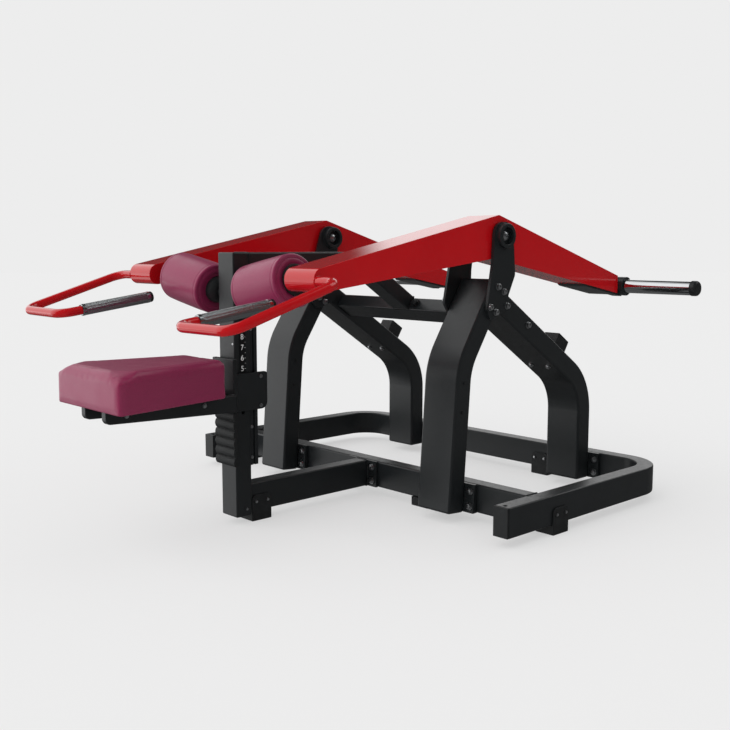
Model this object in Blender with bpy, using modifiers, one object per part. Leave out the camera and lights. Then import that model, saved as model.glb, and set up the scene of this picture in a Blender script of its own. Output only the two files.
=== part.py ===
"""Plate-loaded seated triceps extension machine, built from its tubes, plates, pads and levers.

Metres, +Z up. A user sits on the pad and faces the column along +Y, with +X to the right.
The Y values below are drawn from a point a little in front of the crossbar. At the end everything
moves by one shift, which puts the origin on the floor under the middle of the whole machine.
"""
import math
from typing import NamedTuple

import bmesh
import bpy
from mathutils import Vector

GAP = 0.0003            # between pieces that touch
CENTRE_SHIFT = -0.0312  # along Y, to bring the middle of the whole machine over the origin
ARC_STEP = math.radians(10)
SIDES = ((1, "right"), (-1, "left"))

# Base: one rectangular tube section throughout
FOOT_HEIGHT = 0.030
BASE_WIDTH = 0.055
BASE_DEPTH = 0.090
BASE_MIDDLE = FOOT_HEIGHT + BASE_DEPTH / 2
RAIL_X = 0.7275
RAIL_FRONT = -0.043
REAR_RAIL_Y = 0.8025
RAIL_BEND = 0.1225
CROSSBAR_Y = 0.1325
TUBE_EDGE = 0.006

# Column and what is fixed to it
COLUMN_WIDTH = 0.080
COLUMN_DEPTH = 0.057
COLUMN_Y = -0.4335
COLUMN_FRONT = COLUMN_Y - COLUMN_DEPTH / 2
COLUMN_REAR = COLUMN_Y + COLUMN_DEPTH / 2
COLUMN_BOTTOM = 0.024
COLUMN_TOP = 0.832
PIN_HOLE_RADIUS = 0.006
PIN_HOLE_LOWEST = 0.349
PIN_HOLE_PITCH = 0.032
PIN_HOLE_COUNT = 7
GUIDE_WIDTH = 0.066
GUIDE_DEPTH = 0.031
GUIDE_BOTTOM = 0.180
GUIDE_TOP = 0.700
GROOVE = 0.006
NUMBER_PLATE_THICKNESS = 0.0009
NUMBER_PLATE_WIDTH = 0.022
NUMBER_PLATE_BOTTOM = 0.380
NUMBER_PLATE_TOP = 0.690
GUARD_HALF_WIDTH = 0.050
GUARD_BOTTOM = 0.186
GUARD_TOP = 0.3545
GUARD_BACK = 0.007
GUARD_RIB = 0.0075
GUARD_RIBS = 6

# A-frames
LEG_X = 0.408
LEG_WIDTH = 0.136
FRONT_LEG_DEPTH = 0.068
REAR_LEG_DEPTH = 0.070
LEG_LEAN = math.radians(57)
ALONG_FRONT = Vector((math.cos(LEG_LEAN), math.sin(LEG_LEAN)))
ALONG_REAR = Vector((math.sin(LEG_LEAN), -math.cos(LEG_LEAN)))
LEG_JUNCTION = Vector((0.2223, 0.6971))
FRONT_LEG_FOOT_Y = 0.050
FRONT_KNEE_DROP = 0.2529
FRONT_LEG_RISE = 0.043
FRONT_KNEE_BEND = 0.20
REAR_KNEE_REACH = 0.5995
REAR_KNEE_BEND = 0.18
FLANGE_WIDTH = 0.210
FLANGE_THICKNESS = 0.010
SPINE_FLANGE_WIDTH = 0.140
CROSS_TUBE_REACH = 0.1261
CROSS_TUBE_DEPTH = 0.082
CROSS_TUBE_HEIGHT = 0.050
BEAM_WIDTH = 0.078
BEAM_HEIGHT = 0.053
BEAM_KNEE_Y = 0.060
BEAM_BEND = 0.20
BUMPER_REACH = 0.4416
BUMPER_SIZE = (0.064, 0.066)
BUMPER_TOP = 0.0958

# Arms
PIVOT = Vector((0.248, 0.882))
ARM_X = 0.411
ARM_WIDTH = 0.125
ARM_EDGE = 0.006
NOSE_Y = -0.5145
ARM_APEX = Vector((0.239, 0.947))
ARM_ARMPIT = Vector((0.216, 0.812))
ARM_REAR_Y = 0.916
ARM_REAR_TOP = 0.746
ARM_REAR_BOTTOM = 0.683
SHAFT_RADIUS = 0.0125
RUNNING_CLEARANCE = 0.00009
PLATE_THICKNESS = 0.010
PLATE_HEAD = 0.043
BOSS_RADIUS = 0.039
BOSS_RECESS = 0.027
BOSS_HEIGHT = 0.017
BOLT_HEAD_RADIUS = 0.015
BOLT_HEAD_HEIGHT = 0.011
HANDLE_RADIUS = 0.0135
HANDLE_BEND = 0.042
ELBOW = Vector((0.560, -0.501, 0.757))
HANDLE_FRONT_OUTER = Vector((0.559, -0.840, 0.651))
HANDLE_FRONT_INNER = Vector((0.316, -0.836, 0.649))
GRIP_END = Vector((0.318, -0.536, 0.690))
GRIP_RADIUS = 0.018
GRIP_LENGTH = 0.236
GRIP_CAP_LENGTH = 0.008
HORN_Y = 0.950
HORN_Z = 0.707
HORN_RADIUS = 0.0243
HORN_START = 0.490
HORN_END = 0.744
HORN_CAP_END = 0.770
HORN_CAP_RADIUS = 0.0262
HORN_BOSS_RADIUS = 0.0337
BRACKET_THICKNESS = 0.006
BRACKET_FRONT = 0.715
BRACKET_WIDTH = 0.117
BRACKET_TAB_REAR = 0.950
BRACKET_TAB_X = 0.431

# Seat and its carriage. The cushion narrows towards the column.
SEAT_HALF_WIDTH = 0.177
SEAT_REAR_HALF_WIDTH = 0.102
SEAT_FRONT = -0.921
SEAT_REAR = -0.542
SEAT_BOTTOM = 0.410
SEAT_CORNER_LOW = 0.4955
SEAT_SHOULDER = 0.5095
SEAT_TOP = 0.521
SEAT_CHAMFER = 0.010
SEAT_CORNER = 0.012
SEAT_SHOULDER_CORNER = 0.044
SEAT_TOP_CORNER = 0.058
SEAT_EDGE = 0.006
SEAT_BOARD_THICKNESS = 0.012
SEAT_BOARD_INSET = 0.020
SEAT_ARM_X = 0.058
SEAT_ARM_WIDTH = 0.024
SEAT_ARM_FRONT = -0.905
CARRIAGE_FRONT = -0.478
CARRIAGE_PLATE = 0.015
CARRIAGE_HALF_WIDTH = 0.055
CARRIAGE_BOTTOM = 0.355
CARRIAGE_LIP = 0.515
CARRIAGE_SHOULDER = 0.470
CARRIAGE_REAR = -0.350
CARRIAGE_INNER_X = 0.0420
CARRIAGE_SIDE = 0.010
CARRIAGE_PIN_RADIUS = 0.007
CARRIAGE_PIN_Y = -0.3615
CARRIAGE_PINS = (0.367, 0.457)
LOCK_Z = PIN_HOLE_LOWEST + 2 * PIN_HOLE_PITCH
LOCK_RADIUS = 0.0055
LOCK_HOUSING_RADIUS = 0.013
LOCK_HOUSING_LENGTH = 0.022
LOCK_KNOB_RADIUS = 0.017
LOCK_KNOB_LENGTH = 0.026

# Thigh rollers
ROLLER_MIDDLE = Vector((0.1935, COLUMN_Y, 0.737))
ROLLER_TILT = math.radians(10.2)
ROLLER_LENGTH = 0.208
ROLLER_RADIUS = 0.077
ROLLER_EDGE = 0.007
ROLLER_BORE = 0.0152
AXLE_RADIUS = 0.0150
ROLLER_HUB_RADIUS = 0.041
ROLLER_HUB_LENGTH = 0.058
ROLLER_NECK_RADIUS = 0.018
ROLLER_CAP_RADIUS = 0.046
ROLLER_CAP_LENGTH = 0.007


class Finish(NamedTuple):
    """Colour as sRGB hex, roughness and metallic of one kind of surface."""

    name: str
    colour: str
    roughness: float
    metallic: float


BLACK_PAINT = Finish("black_paint", "25282A", 0.42, 0.0)
RED_PAINT = Finish("red_paint", "B00D14", 0.24, 0.0)
VINYL = Finish("maroon_vinyl", "7B2546", 0.45, 0.0)
CHROME = Finish("chrome", "C9CBCD", 0.12, 1.0)
RUBBER = Finish("black_rubber", "17191A", 0.62, 0.0)
PLASTIC = Finish("black_plastic", "1B1D1F", 0.48, 0.0)
ZINC = Finish("zinc_steel", "9A9DA0", 0.32, 1.0)
LABEL = Finish("label_black", "101214", 0.55, 0.0)
PLYWOOD = Finish("seat_board", "2A2522", 0.70, 0.0)


def linear(level):
    """Turn one sRGB channel, 0 to 1, into linear light."""
    return level / 12.92 if level <= 0.04045 else ((level + 0.055) / 1.055) ** 2.4


def paint(piece, finish):
    """Give a piece a Principled BSDF of its own with the finish's values."""
    material = bpy.data.materials.new(f"{piece.name}_{finish.name}")
    material.use_nodes = True
    shader = material.node_tree.nodes["Principled BSDF"]
    channels = [linear(int(finish.colour[i:i + 2], 16) / 255) for i in (0, 2, 4)]
    shader.inputs["Base Color"].default_value = (*channels, 1.0)
    shader.inputs["Roughness"].default_value = finish.roughness
    shader.inputs["Metallic"].default_value = finish.metallic
    piece.data.materials.clear()
    piece.data.materials.append(material)


def named_collection(name):
    """Make a collection in the scene."""
    collection = bpy.data.collections.new(name)
    bpy.context.scene.collection.children.link(collection)
    return collection


def move_to(piece, collection):
    """Keep a piece in one collection only."""
    for old in list(piece.users_collection):
        old.objects.unlink(piece)
    collection.objects.link(piece)


def keep_part(piece, name, finish, parent=None):
    """Name and paint a finished piece, and hang it under its parent without moving it."""
    piece.name = name
    piece.data.name = name
    move_to(piece, PARTS)
    paint(piece, finish)
    if parent is not None:
        piece.parent = parent
        piece.location = Vector(piece.location) - Vector(parent.location)
    return piece


def make_cutter(piece):
    """Put a piece among the cutters, where nothing shows it."""
    move_to(piece, CUTTERS)
    piece.hide_render = True
    piece.display_type = "WIRE"
    return piece


def combine(piece, other, operation):
    """Cut or join another piece with an exact Boolean."""
    change = piece.modifiers.new(operation.lower(), "BOOLEAN")
    change.operation = operation
    change.object = make_cutter(other)
    return piece


def round_edges(piece, width, segments=2, limit=40):
    """Round the edges sharper than the limit, in degrees."""
    bevel = piece.modifiers.new("rounded_edges", "BEVEL")
    bevel.width = width
    bevel.segments = segments
    bevel.limit_method = "ANGLE"
    bevel.angle_limit = math.radians(limit)
    return piece


def smooth(piece, limit=35):
    """Shade smooth, with edges above the limit kept sharp."""
    piece.data.shade_smooth()
    piece.data.set_sharp_from_angle(angle=math.radians(limit))


def rounded_outline(corners):
    """Closed outline of corners (u, v, radius), each rounded by an arc where it has a radius."""
    points = []
    for i, (u, v, radius) in enumerate(corners):
        here = Vector((u, v))
        if radius <= 0:
            points.append(here)
            continue
        before = (Vector(corners[i - 1][:2]) - here).normalized()
        after = (Vector(corners[(i + 1) % len(corners)][:2]) - here).normalized()
        half = before.angle(after) / 2
        middle = here + (before + after).normalized() * radius / math.sin(half)
        start = here + before * radius / math.tan(half) - middle
        sweep = math.pi - 2 * half
        turn = math.copysign(1, before.y * after.x - before.x * after.y)
        steps = max(2, math.ceil(sweep / ARC_STEP))
        for k in range(steps + 1):
            angle = turn * sweep * k / steps
            points.append(middle + Vector((
                start.x * math.cos(angle) - start.y * math.sin(angle),
                start.x * math.sin(angle) + start.y * math.cos(angle),
            )))
    return points


def bar_outline(path, depth, bends):
    """Outline of a bar of even depth along a path, with a centre-line radius at each inner point."""
    left, right = [], []
    for i, point in enumerate(path):
        here = Vector(point)
        normals = []
        if i > 0:
            step = (here - Vector(path[i - 1])).normalized()
            normals.append(Vector((-step.y, step.x)))
        if i < len(path) - 1:
            step = (Vector(path[i + 1]) - here).normalized()
            normals.append(Vector((-step.y, step.x)))
        inner = len(normals) == 2
        if inner:
            miter = (normals[0] + normals[1]) / (1 + normals[0].dot(normals[1])) * depth / 2
            turn = normals[0].x * normals[1].y - normals[0].y * normals[1].x
            offset = math.copysign(depth / 2, turn)
            left.append((*(here + miter), bends[i - 1] - offset))
            right.append((*(here - miter), bends[i - 1] + offset))
        else:
            left.append((*(here + normals[0] * depth / 2), 0))
            right.append((*(here - normals[0] * depth / 2), 0))
    return rounded_outline(right + left[::-1])


def circle(centre, radius, count=24):
    """Points of a circle."""
    return [
        Vector(centre) + Vector((radius * math.cos(a), radius * math.sin(a)))
        for a in (2 * math.pi * k / count for k in range(count))
    ]


def mesh_from_curve(curve_object):
    """Turn a curve object into a closed mesh object in the same place."""
    evaluated = curve_object.evaluated_get(bpy.context.evaluated_depsgraph_get())
    mesh = bpy.data.meshes.new_from_object(evaluated)
    work = bmesh.new()
    work.from_mesh(mesh)
    bmesh.ops.remove_doubles(work, verts=work.verts, dist=0.00001)
    bmesh.ops.dissolve_limit(work, angle_limit=math.radians(0.2), verts=work.verts, edges=work.edges)
    bmesh.ops.recalc_face_normals(work, faces=work.faces)
    work.to_mesh(mesh)
    work.free()
    piece = bpy.data.objects.new(curve_object.name, mesh)
    bpy.context.scene.collection.objects.link(piece)
    piece.matrix_world = curve_object.matrix_world
    bpy.data.objects.remove(curve_object)
    return piece


def flat_piece(outline, thickness, plane, place, holes=()):
    """A flat outline given thickness. Plane YZ is extruded along X, XZ along Y and XY along Z."""
    curve = bpy.data.curves.new("outline", "CURVE")
    curve.dimensions = "2D"
    curve.fill_mode = "BOTH"
    curve.extrude = thickness / 2
    for loop in (outline, *holes):
        spline = curve.splines.new("POLY")
        spline.points.add(len(loop) - 1)
        for point, (u, v) in zip(spline.points, loop):
            point.co = (u, v, 0, 1)
        spline.use_cyclic_u = True
    piece = bpy.data.objects.new("outline", curve)
    bpy.context.scene.collection.objects.link(piece)
    quarter = math.pi / 2
    piece.rotation_euler = {"YZ": (quarter, 0, quarter), "XZ": (quarter, 0, 0), "XY": (0, 0, 0)}[plane]
    piece.location = place
    bpy.context.view_layer.update()
    return mesh_from_curve(piece)


def box_piece(size, place, turn=(0, 0, 0)):
    """A box of the given size."""
    bpy.ops.mesh.primitive_cube_add(size=1, location=place, rotation=turn)
    piece = bpy.context.object
    piece.scale = size
    bpy.ops.object.transform_apply(location=False, rotation=False, scale=True)
    return piece


def rod_piece(radius, start, end, count=24):
    """A cylinder between two points."""
    run = Vector(end) - Vector(start)
    bpy.ops.mesh.primitive_cylinder_add(
        radius=radius, depth=run.length, vertices=count, location=(Vector(start) + Vector(end)) / 2,
        rotation=run.to_track_quat("Z", "Y").to_euler())
    return bpy.context.object


def turned_piece(profile, place, axis, closed=False, steps=28):
    """A profile of (radius, height) from top to bottom, turned about an axis through its place."""
    mesh = bpy.data.meshes.new("profile")
    edges = [(i, i + 1) for i in range(len(profile) - 1)]
    if closed:
        edges.append((len(profile) - 1, 0))
    mesh.from_pydata([(radius, 0, height) for radius, height in profile], edges, [])
    piece = bpy.data.objects.new("turned", mesh)
    bpy.context.scene.collection.objects.link(piece)
    screw = piece.modifiers.new("turned", "SCREW")
    screw.steps = steps
    screw.render_steps = steps
    screw.use_merge_vertices = True
    screw.merge_threshold = 0.00001
    piece.location = place
    piece.rotation_euler = Vector(axis).to_track_quat("Z", "Y").to_euler()
    return piece


def arc(centre, radius, first, last, steps=4):
    """Points (radius, height) of an arc in a turned profile, between angles in degrees."""
    angles = [math.radians(first + (last - first) * k / steps) for k in range(steps + 1)]
    return [(centre[0] + radius * math.cos(a), centre[1] + radius * math.sin(a)) for a in angles]


def rounded_route(points, bend):
    """Route through the points, with the same bend radius at each inner one."""
    route = [Vector(points[0])]
    for before, here, after in zip(points, points[1:], points[2:]):
        back = (Vector(before) - Vector(here)).normalized()
        ahead = (Vector(after) - Vector(here)).normalized()
        half = back.angle(ahead) / 2
        middle = Vector(here) + (back + ahead).normalized() * bend / math.sin(half)
        start = Vector(here) + back * bend / math.tan(half) - middle
        end = Vector(here) + ahead * bend / math.tan(half) - middle
        sweep = math.pi - 2 * half
        steps = max(3, math.ceil(sweep / ARC_STEP))
        for k in range(steps + 1):
            share = sweep * k / steps
            route.append(middle + (start * math.sin(sweep - share) + end * math.sin(share)) / math.sin(sweep))
    route.append(Vector(points[-1]))
    return route


def round_tube(route, radius, resolution=5):
    """A round tube along a route."""
    curve = bpy.data.curves.new("route", "CURVE")
    curve.dimensions = "3D"
    curve.bevel_depth = radius
    curve.bevel_resolution = resolution
    curve.use_fill_caps = True
    spline = curve.splines.new("POLY")
    spline.points.add(len(route) - 1)
    for point, place in zip(spline.points, route):
        point.co = (*place, 1)
    piece = bpy.data.objects.new("route", curve)
    bpy.context.scene.collection.objects.link(piece)
    bpy.context.view_layer.update()
    return mesh_from_curve(piece)


def joint_empty(name, place):
    """An empty on a joint's axis, which carries the pieces that move about it."""
    empty = bpy.data.objects.new(name, None)
    empty.location = place
    PARTS.objects.link(empty)
    return empty


def leg_rear_face(height):
    """Y of the front leg's rear face near the floor, at a height."""
    knee = LEG_JUNCTION - ALONG_FRONT * FRONT_KNEE_DROP
    lean = (knee.x - FRONT_LEG_FOOT_Y) / (knee.y - FOOT_HEIGHT)
    return FRONT_LEG_FOOT_Y + lean * (height - FOOT_HEIGHT) + FRONT_LEG_DEPTH / 2 * math.hypot(1, lean)


def build_base():
    """Bent rear rail, crossbar and spine, with their flanges and end caps."""
    path = [(-RAIL_X, RAIL_FRONT), (-RAIL_X, REAR_RAIL_Y), (RAIL_X, REAR_RAIL_Y), (RAIL_X, RAIL_FRONT)]
    rail = flat_piece(bar_outline(path, BASE_WIDTH, (RAIL_BEND, RAIL_BEND)), BASE_DEPTH, "XY", (0, 0, BASE_MIDDLE))
    keep_part(round_edges(rail, TUBE_EDGE), "base_rail", BLACK_PAINT)

    inside = RAIL_X - BASE_WIDTH / 2 - GAP
    crossbar = box_piece((2 * inside, BASE_WIDTH, BASE_DEPTH), (0, CROSSBAR_Y, BASE_MIDDLE))
    keep_part(round_edges(crossbar, TUBE_EDGE), "front_crossbar", BLACK_PAINT)

    crossbar_front = CROSSBAR_Y - BASE_WIDTH / 2
    flange_front = crossbar_front - GAP - FLANGE_THICKNESS
    flange = box_piece(
        (SPINE_FLANGE_WIDTH, FLANGE_THICKNESS, BASE_DEPTH),
        (0, flange_front + FLANGE_THICKNESS / 2, BASE_MIDDLE))
    keep_part(round_edges(flange, 0.0015), "spine_flange", BLACK_PAINT)
    spine_start = COLUMN_REAR + GAP
    spine_end = flange_front - GAP
    spine = box_piece(
        (BASE_WIDTH, spine_end - spine_start, BASE_DEPTH), (0, (spine_start + spine_end) / 2, BASE_MIDDLE))
    keep_part(round_edges(spine, TUBE_EDGE), "base_spine", BLACK_PAINT)

    cap_thickness = 0.004
    for side, word in SIDES:
        cap = box_piece(
            (BASE_WIDTH - 0.002, cap_thickness, BASE_DEPTH - 0.002),
            (side * RAIL_X, RAIL_FRONT - GAP - cap_thickness / 2, BASE_MIDDLE))
        keep_part(round_edges(cap, 0.0015), f"rail_end_cap_{word}", PLASTIC)


def build_foot(name, place, along, flaps=(True, True)):
    """Rubber foot wrapped on a base tube that runs along X or Y, with a flap up either side."""
    length = 0.075
    wrap = 0.0055
    flap_top = 0.080
    across = BASE_WIDTH + 2 * wrap
    x, y = place
    size = (across, length, flap_top) if along == "Y" else (length, across, flap_top)
    foot = round_edges(box_piece(size, (x, y, flap_top / 2)), 0.003)
    hollow = BASE_WIDTH + 2 * GAP
    low = -1 if flaps[0] else -2
    high = 1 if flaps[1] else 2
    middle = (low + high) * hollow / 4
    width = (high - low) * hollow / 2
    cut_size = (width, 2 * length, flap_top) if along == "Y" else (2 * length, width, flap_top)
    cut_place = (x + middle, y) if along == "Y" else (x, y + middle)
    cutter = box_piece(cut_size, (*cut_place, FOOT_HEIGHT - GAP + flap_top / 2))
    keep_part(combine(foot, cutter, "DIFFERENCE"), name, RUBBER)


def build_feet():
    """Seven feet: spine, side rails, rear rail and crossbar."""
    build_foot("spine_foot", (0, -0.3625), "Y")
    for side, word in SIDES:
        build_foot(f"rail_foot_{word}", (side * RAIL_X, 0.1975), "Y")
        build_foot(f"rear_foot_{word}", (side * 0.2525, REAR_RAIL_Y), "X")
        build_foot(f"crossbar_foot_{word}", (side * 0.2665, CROSSBAR_Y), "X", flaps=(False, True))


def build_column():
    """Column with its row of pin holes, guide rail, number plate and ribbed guard."""
    column = box_piece(
        (COLUMN_WIDTH, COLUMN_DEPTH, COLUMN_TOP - COLUMN_BOTTOM),
        (0, COLUMN_Y, (COLUMN_TOP + COLUMN_BOTTOM) / 2))
    round_edges(column, 0.005)
    for k in range(PIN_HOLE_COUNT):
        z = PIN_HOLE_LOWEST + k * PIN_HOLE_PITCH
        hole = rod_piece(PIN_HOLE_RADIUS, (-COLUMN_WIDTH, COLUMN_Y, z), (COLUMN_WIDTH, COLUMN_Y, z), count=14)
        combine(column, hole, "DIFFERENCE")
    keep_part(column, "column", BLACK_PAINT)

    front = COLUMN_REAR + GAP
    middle = front + GUIDE_DEPTH / 2
    half = GUIDE_WIDTH / 2
    groove = [
        (half, front), (half, middle - GROOVE / 2), (half - GROOVE, middle - GROOVE / 2),
        (half - GROOVE, middle + GROOVE / 2), (half, middle + GROOVE / 2), (half, front + GUIDE_DEPTH),
    ]
    outline = groove + [(-x, y) for x, y in reversed(groove)]
    guide = flat_piece(outline, GUIDE_TOP - GUIDE_BOTTOM, "XY", (0, 0, (GUIDE_TOP + GUIDE_BOTTOM) / 2))
    keep_part(guide, "guide_rail", BLACK_PAINT)

    plate_x = COLUMN_WIDTH / 2 + GAP + NUMBER_PLATE_THICKNESS / 2
    plate = box_piece(
        (NUMBER_PLATE_THICKNESS, NUMBER_PLATE_WIDTH, NUMBER_PLATE_TOP - NUMBER_PLATE_BOTTOM),
        (plate_x, COLUMN_Y, (NUMBER_PLATE_TOP + NUMBER_PLATE_BOTTOM) / 2))
    keep_part(plate, "number_plate", LABEL)

    back = COLUMN_FRONT - GAP
    points = [(back, GUARD_TOP), (back, GUARD_BOTTOM)]
    steps = GUARD_RIBS * 8
    for k in range(steps + 1):
        z = GUARD_BOTTOM + (GUARD_TOP - GUARD_BOTTOM) * k / steps
        bulge = abs(math.sin(math.pi * GUARD_RIBS * k / steps))
        points.append((back - GUARD_BACK - GUARD_RIB * math.sqrt(bulge), z))
    guard = flat_piece(points, 2 * GUARD_HALF_WIDTH, "YZ", (0, 0, 0))
    keep_part(guard, "ribbed_guard", RUBBER)


def build_legs():
    """Two A-frames, their flanges, the sloping beam and the tube between them."""
    knee = LEG_JUNCTION - ALONG_FRONT * FRONT_KNEE_DROP
    front_path = [(FRONT_LEG_FOOT_Y, FOOT_HEIGHT), tuple(knee), tuple(LEG_JUNCTION + ALONG_FRONT * FRONT_LEG_RISE)]
    front_outline = bar_outline(front_path, FRONT_LEG_DEPTH, (FRONT_KNEE_BEND,))
    rear_start = LEG_JUNCTION + ALONG_REAR * (FRONT_LEG_DEPTH / 2 + GAP)
    rear_knee = LEG_JUNCTION + ALONG_REAR * REAR_KNEE_REACH
    rear_path = [tuple(rear_start), tuple(rear_knee), (rear_knee.x, FOOT_HEIGHT)]
    rear_outline = bar_outline(rear_path, REAR_LEG_DEPTH, (REAR_KNEE_BEND,))
    base_top = FOOT_HEIGHT + BASE_DEPTH
    crossbar_front = CROSSBAR_Y - BASE_WIDTH / 2
    wedge = [
        (leg_rear_face(FOOT_HEIGHT) + GAP, FOOT_HEIGHT), (crossbar_front - GAP, FOOT_HEIGHT),
        (crossbar_front - GAP, base_top), (leg_rear_face(base_top) + GAP, base_top),
    ]
    rear_face = rear_knee.x + REAR_LEG_DEPTH / 2 + GAP
    rail_front = REAR_RAIL_Y - BASE_WIDTH / 2 - GAP
    for side, word in SIDES:
        x = side * LEG_X
        front_leg = flat_piece(front_outline, LEG_WIDTH, "YZ", (x, 0, 0))
        keep_part(round_edges(front_leg, 0.008), f"front_leg_{word}", BLACK_PAINT)
        rear_leg = flat_piece(rear_outline, LEG_WIDTH, "YZ", (x, 0, 0))
        keep_part(round_edges(rear_leg, 0.008), f"rear_leg_{word}", BLACK_PAINT)
        flange = flat_piece(wedge, FLANGE_WIDTH, "YZ", (x, 0, 0))
        keep_part(round_edges(flange, 0.0015), f"front_leg_flange_{word}", BLACK_PAINT)
        flange = box_piece(
            (FLANGE_WIDTH, rail_front - rear_face, BASE_DEPTH), (x, (rail_front + rear_face) / 2, BASE_MIDDLE))
        keep_part(round_edges(flange, 0.0015), f"rear_leg_flange_{word}", BLACK_PAINT)

    cross = LEG_JUNCTION + ALONG_REAR * CROSS_TUBE_REACH
    slope = math.atan2(ALONG_REAR.y, ALONG_REAR.x)
    inside = LEG_X - LEG_WIDTH / 2 - GAP
    tube = box_piece((2 * inside, CROSS_TUBE_DEPTH, CROSS_TUBE_HEIGHT), (0, *cross), (slope, 0, 0))
    keep_part(round_edges(tube, TUBE_EDGE), "upper_cross_tube", BLACK_PAINT)

    beam_knee = Vector((BEAM_KNEE_Y, COLUMN_TOP - BEAM_HEIGHT / 2))
    run = (cross - beam_knee).dot(ALONG_REAR) - CROSS_TUBE_DEPTH / 2 - GAP
    beam_path = [(COLUMN_REAR + GAP, beam_knee.y), tuple(beam_knee), tuple(beam_knee + ALONG_REAR * run)]
    beam = flat_piece(bar_outline(beam_path, BEAM_HEIGHT, (BEAM_BEND,)), BEAM_WIDTH, "YZ", (0, 0, 0))
    keep_part(round_edges(beam, TUBE_EDGE), "top_beam", BLACK_PAINT)

    normal = ALONG_FRONT
    low = REAR_LEG_DEPTH / 2 + GAP
    place = LEG_JUNCTION + ALONG_REAR * BUMPER_REACH + normal * (low + BUMPER_TOP) / 2
    for side, word in SIDES:
        bumper = box_piece((*BUMPER_SIZE, BUMPER_TOP - low), (side * LEG_X, *place), (slope, 0, 0))
        keep_part(round_edges(bumper, 0.004), f"bumper_{word}", RUBBER)


def build_pivots():
    """The four pivot plates with their boss rings, and the shaft through each pair."""
    head = [(PIVOT.x + PLATE_HEAD, PIVOT.y + PLATE_HEAD, PLATE_HEAD - 0.002),
            (PIVOT.x - PLATE_HEAD, PIVOT.y + PLATE_HEAD, PLATE_HEAD - 0.002)]
    outlines = {
        "outer": rounded_outline([
            (0.197, 0.800, 0.100), (0.171, 0.656, 0.008), (0.186, 0.620, 0.016), (0.288, 0.660, 0.020),
            (0.273, 0.694, 0.010), (0.306, 0.760, 0.020), *head]),
        "inner": rounded_outline([
            (0.1615, 0.790, 0.060), (0.137, 0.671, 0.008), (0.170, 0.622, 0.016), (0.262, 0.648, 0.020),
            (0.2656, 0.775, 0.060), *head]),
    }
    bore = circle(PIVOT, SHAFT_RADIUS + GAP)
    leg_side = LEG_WIDTH / 2 + GAP
    for side, word in SIDES:
        for face, layer in ((1, "outer"), (-1, "inner")):
            x = side * (LEG_X + face * (leg_side + PLATE_THICKNESS / 2))
            plate = flat_piece(outlines[layer], PLATE_THICKNESS, "YZ", (x, 0, 0), holes=(bore,))
            out = side * face
            ring_base = side * (LEG_X + face * leg_side) + out * PLATE_THICKNESS / 2
            ring_top = ring_base + out * (PLATE_THICKNESS / 2 + BOSS_HEIGHT)
            ring = rod_piece(BOSS_RADIUS, (ring_base, *PIVOT), (ring_top, *PIVOT), count=32)
            combine(plate, ring, "UNION")
            plate_face = ring_base + out * PLATE_THICKNESS / 2
            recess = rod_piece(BOSS_RECESS, (plate_face, *PIVOT), (ring_top + out * BOSS_HEIGHT, *PIVOT), count=32)
            combine(plate, recess, "DIFFERENCE")
            through = rod_piece(
                SHAFT_RADIUS + GAP, (ring_base - out * 0.02, *PIVOT), (ring_top, *PIVOT), count=32)
            combine(plate, through, "DIFFERENCE")
            keep_part(plate, f"pivot_plate_{layer}_{word}", BLACK_PAINT)
        half = leg_side + PLATE_THICKNESS + GAP
        ends = [(0, half + BOLT_HEAD_HEIGHT), (BOLT_HEAD_RADIUS - 0.002, half + BOLT_HEAD_HEIGHT),
                (BOLT_HEAD_RADIUS, half + BOLT_HEAD_HEIGHT - 0.002), (BOLT_HEAD_RADIUS, half), (SHAFT_RADIUS, half)]
        profile = ends + [(radius, -height) for radius, height in reversed(ends)]
        shaft = turned_piece(profile, (side * LEG_X, *PIVOT), (1, 0, 0), steps=48)
        keep_part(shaft, f"pivot_shaft_{word}", ZINC)


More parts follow.
